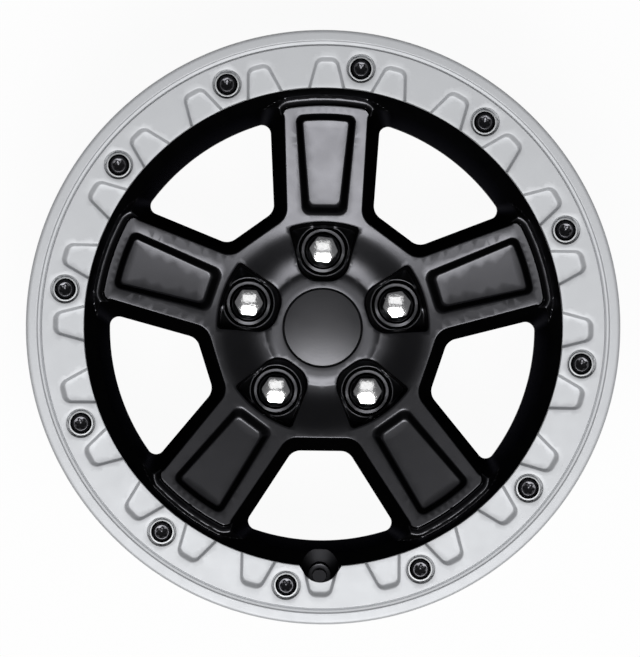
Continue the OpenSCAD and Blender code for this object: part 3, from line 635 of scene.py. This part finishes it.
def fill_front(s, window, pocket, nut):
    """Front face of half a sector, round the window, the spoke's pocket and the nut's."""
    loop = np.concatenate([
        spoke_line(top_z, 0, 33.0, nut[0, 0, 1], 3.0),
        nut[0],
        spoke_line(top_z, 0, nut[0, -1, 1], pocket[0, 0, 1], 1.5),
        pocket[0],
        spoke_line(top_z, 0, pocket[0, -1, 1], SPIGOT_R, 0.8),
        ring_arc(SPIGOT_R, SPIGOT_Z, 0, SECTOR),
        spoke_line(top_z, SECTOR, SPIGOT_R, radius(window[0, -1]), 0.6),
        window[0, ::-1],
        spoke_line(top_z, SECTOR, radius(window[0, 0]), 33.0, 3.0),
        ring_arc(33.0, HUB_Z, SECTOR, 0, BORE_STEP),
    ])
    over_hub = (36, 39, 41, 43, 45, 46.2, 47.2, 48.2, 50, 53, 56, 60, 64, 68)
    face = arcs(SECTOR, (over_hub, 3.2), ((72, 76, 79.5, 83), 4.0), ((87.4,), 2.2),
                ((90.5,), 3.2), (range(96, 177, 6), 6.0))
    end_lines = [
        end_line(d) for d in
        (-0.9, -0.3, 0.1, 0.5, 0.9, 1.3, 1.7, 2.2, 3.1, 4.0, 4.6, 5.2, 5.8, 6.4, 6.9)
    ]
    s.fill(loop, np.concatenate([face, *end_lines, beyond_the_corner()]), 0.42, top_z)


def fill_floors(s, pocket, pocket_floor, hollow, hollow_floor, cut, cut_floor):
    """Floors of the spoke's pocket, of the channel in its back and of the pad's hollow."""
    for rows, floor, spacing in ((pocket, pocket_floor, 7.0), (hollow, hollow_floor, 9.0)):
        edge = rows[-1]
        loop = np.concatenate([edge, spoke_line(floor, 0, edge[-1, 1], edge[0, 1], 6.0)])
        s.fill(loop, honeycomb(loop, spacing), spacing * 0.5, floor)
    edge = cut[-1]
    loop = np.concatenate([
        edge, spoke_line(cut_floor, SECTOR, radius(edge[-1]), radius(edge[0]), 5.0)])
    s.fill(loop, honeycomb(loop, 6.0), 3.0, cut_floor)


def fill_back(s, window, nut, hollow, cut):
    """Back face of half a sector, round the stud hole, the hollows and the window."""
    loop = np.concatenate([
        spoke_line(back_z, 0, 36.6, nut[-1, 0, 1], 3.0),
        nut[-1],
        spoke_line(back_z, 0, nut[-1, -1, 1], hollow[0, 0, 1], 2.5),
        hollow[0],
        spoke_line(back_z, 0, hollow[0, -1, 1], BACK_R, 1.5),
        ring_arc(BACK_R, BACK_Z, 0, SECTOR),
        spoke_line(back_z, SECTOR, BACK_R, radius(window[-1, -1]), 1.5),
        window[-1, ::-1],
        spoke_line(back_z, SECTOR, radius(window[-1, 0]), radius(cut[0, -1]), 2.5),
        cut[0, ::-1],
        spoke_line(back_z, SECTOR, radius(cut[0, 0]), 36.6, 3.0),
        ring_arc(36.6, 0, SECTOR, 0, BORE_STEP),
    ])
    radii = (42, 48, 54, 60, 66, 72, 76, 78.5, 80, 82, 86, 91, 96, 101, 107, 114, 121,
             128, 135, 142, 149, 156, 163, 168, 171, 173, 175, 177)
    s.fill(loop, arcs(SECTOR, (radii, 5.0)), 0.8, back_z)


def casting_sector():
    """Half of one spoke's sector of the casting, from the spoke's middle to the
    window's."""
    s = Shell()
    window = window_rows()
    pocket, pocket_floor = spoke_pocket()
    nut = nut_pocket()
    hollow, hollow_floor = channel()
    cut, cut_floor = relief()
    for rows in (window, pocket, nut, hollow, cut):
        s.grid(rows)
    s.grid(lathe(BORE_PROFILE, 0, SECTOR, BORE_STEP))
    s.grid(lathe(BARREL_PROFILE, 0, SECTOR))
    fill_front(s, window, pocket, nut)
    fill_floors(s, pocket, pocket_floor, hollow, hollow_floor, cut, cut_floor)
    fill_back(s, window, nut, hollow, cut)
    return s


def spokes_and_mirrors():
    """Changes that turn half a sector to each spoke, with its mirror image."""
    changes = []
    for k in range(SPOKES):
        changes.append(lambda p, a=2 * SECTOR * k: turned(p, a))
        changes.append(lambda p, a=2 * SECTOR * k: turned(mirrored(p), a))
    return changes


def turned_solid(name, profile, place, steps=64):
    """Closed solid of a profile turned about its own axis, put in place by a function."""
    s = Shell()
    profile = np.array(profile, float)
    t = np.linspace(0, 2 * math.pi, steps + 1)
    rows = np.stack([
        np.stack([r * np.sin(t), r * np.cos(t), np.full_like(t, z)], -1) for r, z in profile
    ])
    s.grid(place(rows))
    return s.mesh(name)


VALVE_TILT = math.radians(15)
VALVE_CENTRE = np.array([0, -201.0, 58.0])


def at_valve(p):
    """Local points of the valve hole in the wheel's frame: tilted towards the axis."""
    c, s = math.cos(VALVE_TILT), math.sin(VALVE_TILT)
    x, y, z = p[..., 0], p[..., 1], p[..., 2]
    return np.stack([x, y * c + z * s, -y * s + z * c], -1) + VALVE_CENTRE


def in_recess(p):
    """Local points of the recess over the valve hole: its middle shifts from 200.8 to
    193.6 below the axis as the height goes from 64 to 69."""
    out = p.copy()
    out[..., 1] -= np.interp(p[..., 2], [64.0, 69.0], [200.8, 193.6])
    return out


def cut_by(obj, cutter, sharp):
    """obj less the cutter, as a plain mesh, smooth but for edges over an angle."""
    mod = obj.modifiers.new("cut", "BOOLEAN")
    mod.operation = "DIFFERENCE"
    mod.solver = "EXACT"
    mod.object = cutter
    graph = bpy.context.evaluated_depsgraph_get()
    data = bpy.data.meshes.new_from_object(obj.evaluated_get(graph))
    obj.modifiers.clear()
    old = obj.data
    obj.data = data
    bpy.data.meshes.remove(old)
    bpy.data.objects.remove(cutter)
    data.shade_smooth()
    data.set_sharp_from_angle(angle=math.radians(sharp))
    return obj


casting = casting_sector().repeated(spokes_and_mirrors()).mesh("casting")
valve_hole = turned_solid("valve_hole", [
    (0, -30), (9.5, -30), (9.5, -5.0), (9.0, -4.5), (5.65, -4.5), (5.65, -0.4), (6.1, 0),
    (8.6, 0), (9.2, 0.25), (9.4, 0.9), (9.4, 12.0), (0, 12.0),
], at_valve)
valve_recess = turned_solid("valve_recess", [
    (0, 63.6), (8.8, 63.6), (9.3, 63.8), (9.8, 64.2), (12.4, 66.6), (14.9, 69.0),
    (14.9, 104.0), (0, 104.0),
], in_recess)
casting = cut_by(cut_by(casting, valve_hole, 40), valve_recess, 40)
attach(casting, "root")
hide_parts("wheel_casting")


# Clamp ring

RING_IN_R = 192.4
RING_T_Z = 86.0
EDGE_R = 193.0
OUTER_R = 225.0
LAND_R = 215.0
TOOTH = math.radians(15)
HALF_TOOTH = TOOTH / 2
TOOTH_DEPTH = 4.4
TOOTH_FLOOR_Z = FRONT_Z - TOOTH_DEPTH
SCREWS = 12
SCREW_PCR = 209.5


def level(z):
    """Height function of a flat face."""
    return lambda p: np.full(p.shape[:-1], z)


def tooth_rows():
    """Rows of the sloping side of a tooth-shaped pocket that is open to the ring's
    inner edge, left half, top and right half."""
    top = (RING_IN_R, 14.6, RING_IN_R, 9.6, 211.6, 216.6, 1.0, 7.0)
    floor = (RING_IN_R, 12.7, RING_IN_R, 7.7, 211.6, 213.2, 1.0, 4.8)
    profile = wall_profile(0.3, 0.22, 0.25, 0.3, 3, 2)
    rows = pocket_rows(top, floor, profile, (0, 0, 8, 6, 5),
                       lambda p, share: FRONT_Z - TOOTH_DEPTH * share, start_r=EDGE_R)
    left = mirrored(rows)
    return np.concatenate([left, rows[:, ::-1][:, 1:]], axis=1)


RING_PROFILE = rounded([
    (OUTER_R, FRONT_Z), (225.9, FRONT_Z), (226.4, FRONT_Z - 2.6), (227.3, FRONT_Z - 1.5),
    (229.4, FRONT_Z - 1.3), (229.9, FRONT_Z - 0.1), (231.5, FRONT_Z - 0.12),
    (236.2, FRONT_Z - 0.25), (237.7, FRONT_Z - 0.6), (238.15, FRONT_Z - 1.8),
    (238.9, FRONT_Z - 5.3), (238.9, 94.2), (238, 93.0), (233, 89.6),
    (218.6, 89.6), (218.6, RING_T_Z), (LAND_R, RING_T_Z),
], 1.1, 4)

WASHER_SEAT_Z = 93.8
BORE_ROWS = [
    (11.95, FRONT_Z), (11.75, FRONT_Z - 0.08), (11.55, FRONT_Z - 0.35),
    (11.5, FRONT_Z - 0.7), (12.3, FRONT_Z - 3.0), (12.3, 88.6), (11.9, 88.0), (10.0, 88.0),
    (9.7, 88.6), (9.6, WASHER_SEAT_Z), (4.9, WASHER_SEAT_Z),
    (4.4, WASHER_SEAT_Z - 0.4),
    (4.4, RING_T_Z + 0.4), (4.8, RING_T_Z),
]


def ring_wall(edge):
    """Rows from a plan edge of the front over its rounding and down to the underside.
    edge is an open line of points with the material on its left."""
    n = -normals(edge[:, :2])
    rows = []
    for back, drop in ((0.0, 0.0), (-0.35, 0.06), (-0.55, 0.3), (-0.6, 0.7)):
        p = edge.copy()
        p[:, :2] += n * back
        p[:, 2] -= drop
        rows.append(p)
    for back, z in ((-0.6, RING_T_Z + 5), (-0.6, RING_T_Z + 0.5), (-0.2, RING_T_Z)):
        p = edge.copy()
        p[:, :2] += n * back
        p[:, 2] = z
        rows.append(p)
    return np.stack(rows)


def notch_line():
    """Round notch over the valve hole, as seen along the axis, with slanting sides at
    its mouth: left mouth, round end, right mouth. It is made about +Y."""
    rise_to_front, r = 42.0, 15.7
    centre = np.array([0, -VALVE_CENTRE[1] - rise_to_front * math.tan(VALVE_TILT)])
    x_mouth, x_deep = 16.8, 12.9
    y_mouth = math.sqrt(EDGE_R**2 - x_mouth**2)
    y_deep = RING_IN_R + 9.0
    # the round end starts in the direction of the point where a side is deepest
    a0 = math.atan2(y_deep - centre[1], x_deep)
    t = np.linspace(a0, math.pi - a0, 25)
    arc = centre + r * np.stack([np.cos(t), np.sin(t)], -1)
    right = np.linspace([x_mouth, y_mouth], arc[0], 7)[:-1]
    left = np.linspace(arc[-1], [-x_mouth, y_mouth], 7)[1:]
    return np.concatenate([right, arc, left])[::-1]


def notch_cutter():
    """Closed solid of the notch's outline from under the ring to above it, opposite +Y."""
    s = Shell()
    line = notch_line()
    inner_y = 185.0
    outline = np.concatenate([line, [[line[-1, 0], inner_y], [line[0, 0], inner_y]]])
    low, high = (turned(with_z(outline, z), math.pi) for z in (80.0, 105.0))
    s.grid(np.stack([np.concatenate([e, e[:1]]) for e in (low, high)]))
    for end in (low, high):
        s.fill(end, np.zeros((0, 2)), 1.0, level(end[0, 2]))
    return s.mesh("notch")


def screw_bore():
    """Right half of a screw's bore, set on the sector's left edge."""
    spin = np.linspace(0, math.pi, 25)
    way = np.stack([np.sin(spin), -np.cos(spin)], -1)
    centre = np.array([0, SCREW_PCR])
    return np.stack([turned(with_z(centre + r * way, z), -HALF_TOOTH) for r, z in BORE_ROWS])


def edge_arc(z, start, end, n):
    """Points of the ring's inner edge between two clock angles."""
    t = np.linspace(start, end, n + 1)
    return np.stack([EDGE_R * np.sin(t), EDGE_R * np.cos(t), np.full_like(t, z)], -1)


def across(z, clock, r0, r1, spacing=2.5):
    return spoke_line(level(z), clock, r0, r1, spacing)


def ring_sector():
    """Sector of one tooth of the ring, 7.5 degrees to each side of the tooth. A screw's
    bore lies on the sector's left edge."""
    s = Shell()
    tooth = tooth_rows()
    bore = screw_bore()
    s.grid(tooth)
    s.grid(lathe(RING_PROFILE, -HALF_TOOTH, HALF_TOOTH))
    s.grid(bore)

    # front face round the tooth
    rim, low = tooth[0], tooth[-1]
    left_edge = edge_arc(FRONT_Z, -HALF_TOOTH, math.atan2(*rim[0, :2]), 6)
    right_edge = edge_arc(FRONT_Z, math.atan2(*rim[-1, :2]), HALF_TOOTH, 6)
    loop = np.concatenate([
        left_edge[:-1], rim, right_edge[1:],
        across(FRONT_Z, HALF_TOOTH, EDGE_R, OUTER_R),
        ring_arc(OUTER_R, FRONT_Z, HALF_TOOTH, -HALF_TOOTH),
        across(FRONT_Z, -HALF_TOOTH, OUTER_R, radius(bore[0, -1])),
        bore[0, ::-1],
        across(FRONT_Z, -HALF_TOOTH, radius(bore[0, 0]), EDGE_R),
    ])
    s.fill(loop, honeycomb(loop, 4.0), 2.0, level(FRONT_Z))

    # the tooth's floor
    floor_edge = edge_arc(TOOTH_FLOOR_Z, math.atan2(*low[0, :2]), math.atan2(*low[-1, :2]), 12)
    loop = np.concatenate([low, floor_edge[::-1][1:-1]])
    s.fill(loop, honeycomb(loop, 4.0), 2.0, level(TOOTH_FLOOR_Z))

    # the inner wall, which follows the front's edge down into the tooth and out of it
    edge = np.concatenate([
        left_edge[:-1], tooth[:-1, 0], floor_edge[:-1], tooth[:0:-1, -1], right_edge])
    wall = on_ray(on_ray(ring_wall(edge), 0, -HALF_TOOTH), -1, HALF_TOOTH)
    s.grid(wall)

    # the underside
    loop = np.concatenate([
        wall[-1],
        across(RING_T_Z, HALF_TOOTH, radius(wall[-1, -1]), LAND_R, 3.0),
        ring_arc(LAND_R, RING_T_Z, HALF_TOOTH, -HALF_TOOTH),
        across(RING_T_Z, -HALF_TOOTH, LAND_R, radius(bore[-1, -1]), 3.0),
        bore[-1, ::-1],
        across(RING_T_Z, -HALF_TOOTH, radius(bore[-1, 0]), radius(wall[-1, 0]), 3.0),
    ])
    s.fill(loop, honeycomb(loop, 6.0), 2.5, level(RING_T_Z))
    return s


def teeth_and_mirrors():
    """Changes that turn a tooth's sector to the right of each screw and its mirror image
    to the left."""
    changes = []
    for k in range(SCREWS):
        angle = TOOTH + 2 * TOOTH * k
        changes.append(lambda p, a=angle: turned(p, a))
        changes.append(lambda p, a=angle: turned(mirrored(p), a - TOOTH))
    return changes


ring = ring_sector().repeated(teeth_and_mirrors()).mesh("clamp_ring_face", 50)
ring = cut_by(ring, notch_cutter(), 50)
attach(ring, "root")
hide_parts("clamp_ring")


# Screws, washers and nuts

def spun(rows, steps=60):
    """Grid of rows that each give a radius, or one for every angle, and a height."""
    t = np.linspace(0, 2 * math.pi, steps + 1)
    out = []
    for r, z in rows:
        r = r(t) if callable(r) else np.full(steps + 1, float(r))
        z = z(t) if callable(z) else np.full(steps + 1, float(z))
        out.append(np.stack([r * np.cos(t), r * np.sin(t), z], -1))
    return np.stack(out)


def screw_rows():
    """Button head with a six-lobed socket, from the socket's middle to the screw's tip.
    The socket's wall lies at r = socket + lobe cos 6t."""
    socket, lobe = 3.7, 0.42

    def lobes(more):
        return lambda t: socket + more + lobe * np.cos(6 * t)

    return [
        (0.0, 96.0), (0.5, 96.05), (1.6, 96.5), (2.7, 96.95), (lobes(-0.35), 97.1),
        (lobes(-0.05), 97.3), (lobes(0.0), 99.3), (lobes(0.12), 99.55), (4.7, 99.8),
        (5.5, 99.92), (5.8, 99.85), (6.1, 99.6), (6.9, 98.9), (7.7, 98.0), (8.25, 97.0),
        (8.55, 96.0), (8.6, 95.5), (8.4, 95.4), (4.0, 95.4), (4.0, 66.5), (3.0, 65.5),
        (0.0, 65.5),
    ]


WASHER_ROWS = [
    (4.4, 93.82), (9.7, 93.82), (9.8, 93.95), (9.8, 95.2), (9.75, 95.33), (9.6, 95.38),
    (8.7, 95.38), (4.4, 95.38), (4.4, 93.82),
]


def nut_rows():
    """Hex nut with a flat round dome and a cone seat. The outline is a hexagon with soft
    corners: r = half width / (sum of max(cos(t - t_k), 0)^26)^(1/26) over the directions
    t_k of its six flats."""
    half_width, power = 10.5, 26
    top, dome = 58.1, 52.0

    def outline(t):
        flats = np.radians(np.arange(30, 390, 60))
        c = np.maximum(np.cos(t[:, None] - flats[None, :]), 0)
        return half_width / (c**power).sum(1) ** (1 / power)

    def on_dome(share):
        return (lambda t: share * outline(t),
                lambda t: top - dome + np.sqrt(dome**2 - (share * outline(t)) ** 2))

    def edge(share, drop):
        return (lambda t: share * outline(t),
                lambda t: top - dome + np.sqrt(dome**2 - outline(t) ** 2) - drop)

    rows = [on_dome(k) for k in (0.0, 0.1, 0.2, 0.3, 0.4, 0.5, 0.6, 0.7, 0.8, 0.88, 0.94)]
    rows += [edge(0.975, 0.02), edge(0.992, 0.2), edge(1.0, 0.55), edge(1.0, 1.4)]
    rows += [
        (outline, 37.0), (outline, 31.0), (lambda t: 0.97 * outline(t), 30.3),
        (11.2, 29.0), (7.6, 22.7), (7.2, 22.4), (6.2, 22.4), (6.2, 50.0),
        (5.6, 51.0), (0.0, 51.0),
    ]
    return rows


def placed(rows, distance, clock, turn=0.0):
    """Rows turned about their own axis, then set at a distance and clock angle."""
    out = turned(rows, -turn)
    out[..., 0] += distance * math.sin(clock)
    out[..., 1] += distance * math.cos(clock)
    return out


def fastener(name, rows, distance, clock, turn, steps):
    """Round piece of rows that stands in for the CAD node of that name."""
    s = Shell()
    s.grid(placed(spun(rows, steps), distance, clock, turn))
    piece = s.mesh(name + "_round", 35)
    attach(piece, "root")
    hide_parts(name)
    return piece


NUT_TURNS = (-6, 12, 1, -4, -2)
screws, washers, nuts = [], [], []
for k in range(SCREWS):
    clock = HALF_TOOTH + 2 * TOOTH * k
    number = f"{k + 1:02d}"
    screws.append(fastener("ring_screw_" + number, screw_rows(), SCREW_PCR, clock, -clock,
                           72))
    washers.append(fastener("ring_washer_" + number, WASHER_ROWS, SCREW_PCR, clock, 0, 60))
for k, turn in enumerate(NUT_TURNS):
    nuts.append(fastener(f"wheel_nut_{k + 1}", nut_rows(), STUD_PCR, 2 * SECTOR * k,
                         math.radians(turn), 120))


# Materials

def material(name):
    mat = bpy.data.materials.new(name)
    mat.use_nodes = True
    nodes, links = mat.node_tree.nodes, mat.node_tree.links
    shader = nodes["Principled BSDF"]
    where = nodes.new("ShaderNodeTexCoord")
    return mat, nodes, links, shader, where.outputs["Object"]


def noise(nodes, links, where, scale, detail=2.0):
    n = nodes.new("ShaderNodeTexNoise")
    n.inputs["Scale"].default_value = scale
    n.inputs["Detail"].default_value = detail
    links.new(where, n.inputs["Vector"])
    return n.outputs["Fac"]


def ranged(nodes, links, value, low, high):
    m = nodes.new("ShaderNodeMapRange")
    m.inputs["To Min"].default_value = low
    m.inputs["To Max"].default_value = high
    m.inputs["From Min"].default_value = 0.3
    m.inputs["From Max"].default_value = 0.7
    links.new(value, m.inputs["Value"])
    return m.outputs["Result"]


def blended(nodes, links, value, a, b):
    m = nodes.new("ShaderNodeMix")
    m.data_type = "RGBA"
    m.inputs["A"].default_value = (*a, 1)
    m.inputs["B"].default_value = (*b, 1)
    links.new(value, m.inputs["Factor"])
    return m.outputs["Result"]


def bumped(nodes, links, shader, value, distance, strength=1.0):
    b = nodes.new("ShaderNodeBump")
    b.inputs["Distance"].default_value = distance
    b.inputs["Strength"].default_value = strength
    links.new(value, b.inputs["Height"])
    links.new(b.outputs["Normal"], shader.inputs["Normal"])


def coated(name, dark, light, metallic, rough, grain, bump, rim=1.0):
    """Paint or plating: a fine grain that varies colour, roughness and height."""
    mat, nodes, links, shader, where = material(name)
    fine = noise(nodes, links, where, grain)
    broad = noise(nodes, links, where, grain / 30)
    links.new(blended(nodes, links, fine, dark, light), shader.inputs["Base Color"])
    links.new(ranged(nodes, links, broad, rough - 0.02, rough + 0.02),
              shader.inputs["Roughness"])
    shader.inputs["Metallic"].default_value = metallic
    shader.inputs["Specular Tint"].default_value = (rim, rim, rim, 1)
    bumped(nodes, links, shader, fine, bump)
    return mat


BLACK = coated("satin_black_coating", (0.040, 0.040, 0.043), (0.050, 0.050, 0.054),
               1.0, 0.32, 1800, 0.00001, 0.05)
SILVER = coated("satin_silver_coating", (0.43, 0.44, 0.455), (0.49, 0.50, 0.515),
                0.4, 0.56, 1800, 0.00002)
SCREW = coated("black_screw_steel", (0.040, 0.040, 0.043), (0.055, 0.055, 0.06),
               1.0, 0.25, 2500, 0.00001, 0.05)
WASHER = coated("zinc_washer_steel", (0.38, 0.39, 0.40), (0.44, 0.45, 0.46),
                0.35, 0.45, 2500, 0.00001)
CHROME = coated("chrome_plating", (0.66, 0.66, 0.66), (0.84, 0.84, 0.84),
                1.0, 0.12, 380, 0.00008)
CAP = coated("satin_black_cap", (0.036, 0.036, 0.038), (0.044, 0.044, 0.047),
             1.0, 0.30, 2000, 0.00001, 0.05)
WIRE = coated("spring_wire", (0.35, 0.35, 0.36), (0.45, 0.45, 0.47), 0.9, 0.3, 2000, 0.00001)


def dress(obj, mat):
    obj.data.materials.clear()
    obj.data.materials.append(mat)


for pieces, mat in (([casting], BLACK), ([ring], SILVER), (screws, SCREW),
                    (washers, WASHER), (nuts, CHROME)):
    for piece in pieces:
        dress(piece, mat)
for name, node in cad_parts.items():
    for start, mat in (("centre_cap", CAP), ("cap_spring", WIRE)):
        if name.startswith(start):
            dress(node, mat)


# Floor, light and camera

def largest_of(nodes, links, *values):
    """Socket with the largest of several values."""
    out = values[0]
    for value in values[1:]:
        m = nodes.new("ShaderNodeMath")
        m.operation = "MAXIMUM"
        links.new(out, m.inputs[0])
        links.new(value, m.inputs[1])
        out = m.outputs[0]
    return out


def white_floor_material():
    """Pale floor that shows almost white to the camera and in reflections, with 5% of
    its shaded surface left, and lights the wheel as a plain surface."""
    mat = bpy.data.materials.new("white_floor")
    mat.use_nodes = True
    nodes, links = mat.node_tree.nodes, mat.node_tree.links
    shader = nodes["Principled BSDF"]
    shader.inputs["Base Color"].default_value = (0.8, 0.8, 0.8, 1)
    shader.inputs["Roughness"].default_value = 0.9
    glow = nodes.new("ShaderNodeEmission")
    glow.inputs["Color"].default_value = (1, 1, 1, 1)
    path = nodes.new("ShaderNodeLightPath").outputs
    seen = largest_of(nodes, links, path["Is Camera Ray"], path["Is Glossy Ray"],
                      path["Is Transmission Ray"])
    share = nodes.new("ShaderNodeMath")
    share.operation = "MULTIPLY"
    share.inputs[1].default_value = 0.95
    links.new(seen, share.inputs[0])
    mix = nodes.new("ShaderNodeMixShader")
    links.new(share.outputs[0], mix.inputs["Fac"])
    links.new(shader.outputs["BSDF"], mix.inputs[1])
    links.new(glow.outputs["Emission"], mix.inputs[2])
    links.new(mix.outputs["Shader"], nodes["Material Output"].inputs["Surface"])
    return mat


def lying_floor():
    """Square floor that the wheel's vehicle side lies on."""
    half, z = 12.0, -126.6 * MM
    data = bpy.data.meshes.new("studio_floor")
    data.from_pydata([(-half, -half, z), (half, -half, z), (half, half, z), (-half, half, z)],
                     [], [(0, 1, 2, 3)])
    obj = bpy.data.objects.new("studio_floor", data)
    bpy.context.scene.collection.objects.link(obj)
    data.materials.append(white_floor_material())
    return obj


studio_floor = lying_floor()

world = bpy.data.worlds.new("studio")
bpy.context.scene.world = world
world.use_nodes = True
world.node_tree.nodes["Background"].inputs["Color"].default_value = (0.5, 0.5, 0.52, 1)
world.node_tree.nodes["Background"].inputs["Strength"].default_value = 0.26


def lamp(name, place, target, size, power, size_y=None):
    data = bpy.data.lights.new(name, "AREA")
    data.shape = "RECTANGLE"
    data.size = size
    data.size_y = size_y or size
    data.energy = power
    obj = bpy.data.objects.new(name, data)
    bpy.context.scene.collection.objects.link(obj)
    obj.location = place
    way = Vector(target) - Vector(place)
    obj.rotation_euler = way.to_track_quat("-Z", "Y").to_euler()
    return obj


def polar(side, tilt, distance):
    """Place at a distance from the ring's middle, tilted from +Z towards the clock
    angle side."""
    a, t = math.radians(side), math.radians(tilt)
    return Vector((math.sin(t) * math.sin(a), math.sin(t) * math.cos(a), math.cos(t))) \
        * distance + Vector((0, 0, FRONT_Z * MM))


centre = Vector((0, 0, 0.08))
lamp("key_below", polar(180, 22, 2.6), centre, 1.22, 67, 1.2)
lamp("key_edge", polar(180, 6, 2.6), centre, 1.1, 2.2, 0.27)
lamp("fill_above", polar(0, 9.75, 3.6), centre, 1.55, 5.2, 0.98)

# The camera: the picture's scale, the wheel's middle off the picture's, the direction
# from the wheel to the camera and the camera's turn
PIXELS_PER_MM = 1.247
MIDDLE_PX = (-3.6, -2.0)
SIGHT = (-0.0180, -0.0210, 1.0)
CAMERA_DISTANCE = 3.2
ROLL = math.radians(0.75)


def photo_camera():
    data = bpy.data.cameras.new("camera")
    data.sensor_width = 36
    data.lens = 218.6
    data.clip_end = 100
    camera = bpy.data.objects.new("camera", data)
    bpy.context.scene.collection.objects.link(camera)
    x, y = (v / PIXELS_PER_MM * MM for v in MIDDLE_PX)
    back = Vector(SIGHT).normalized()
    camera.location = Vector((x, y, FRONT_Z * MM)) + back * CAMERA_DISTANCE
    right = Vector((-math.sin(ROLL), math.cos(ROLL), 0)).cross(back).normalized()
    up = back.cross(right)
    camera.rotation_euler = Matrix([right, up, back]).transposed().to_euler()
    return camera


bpy.context.scene.camera = photo_camera()

bpy.context.scene.view_settings.view_transform = "Standard"
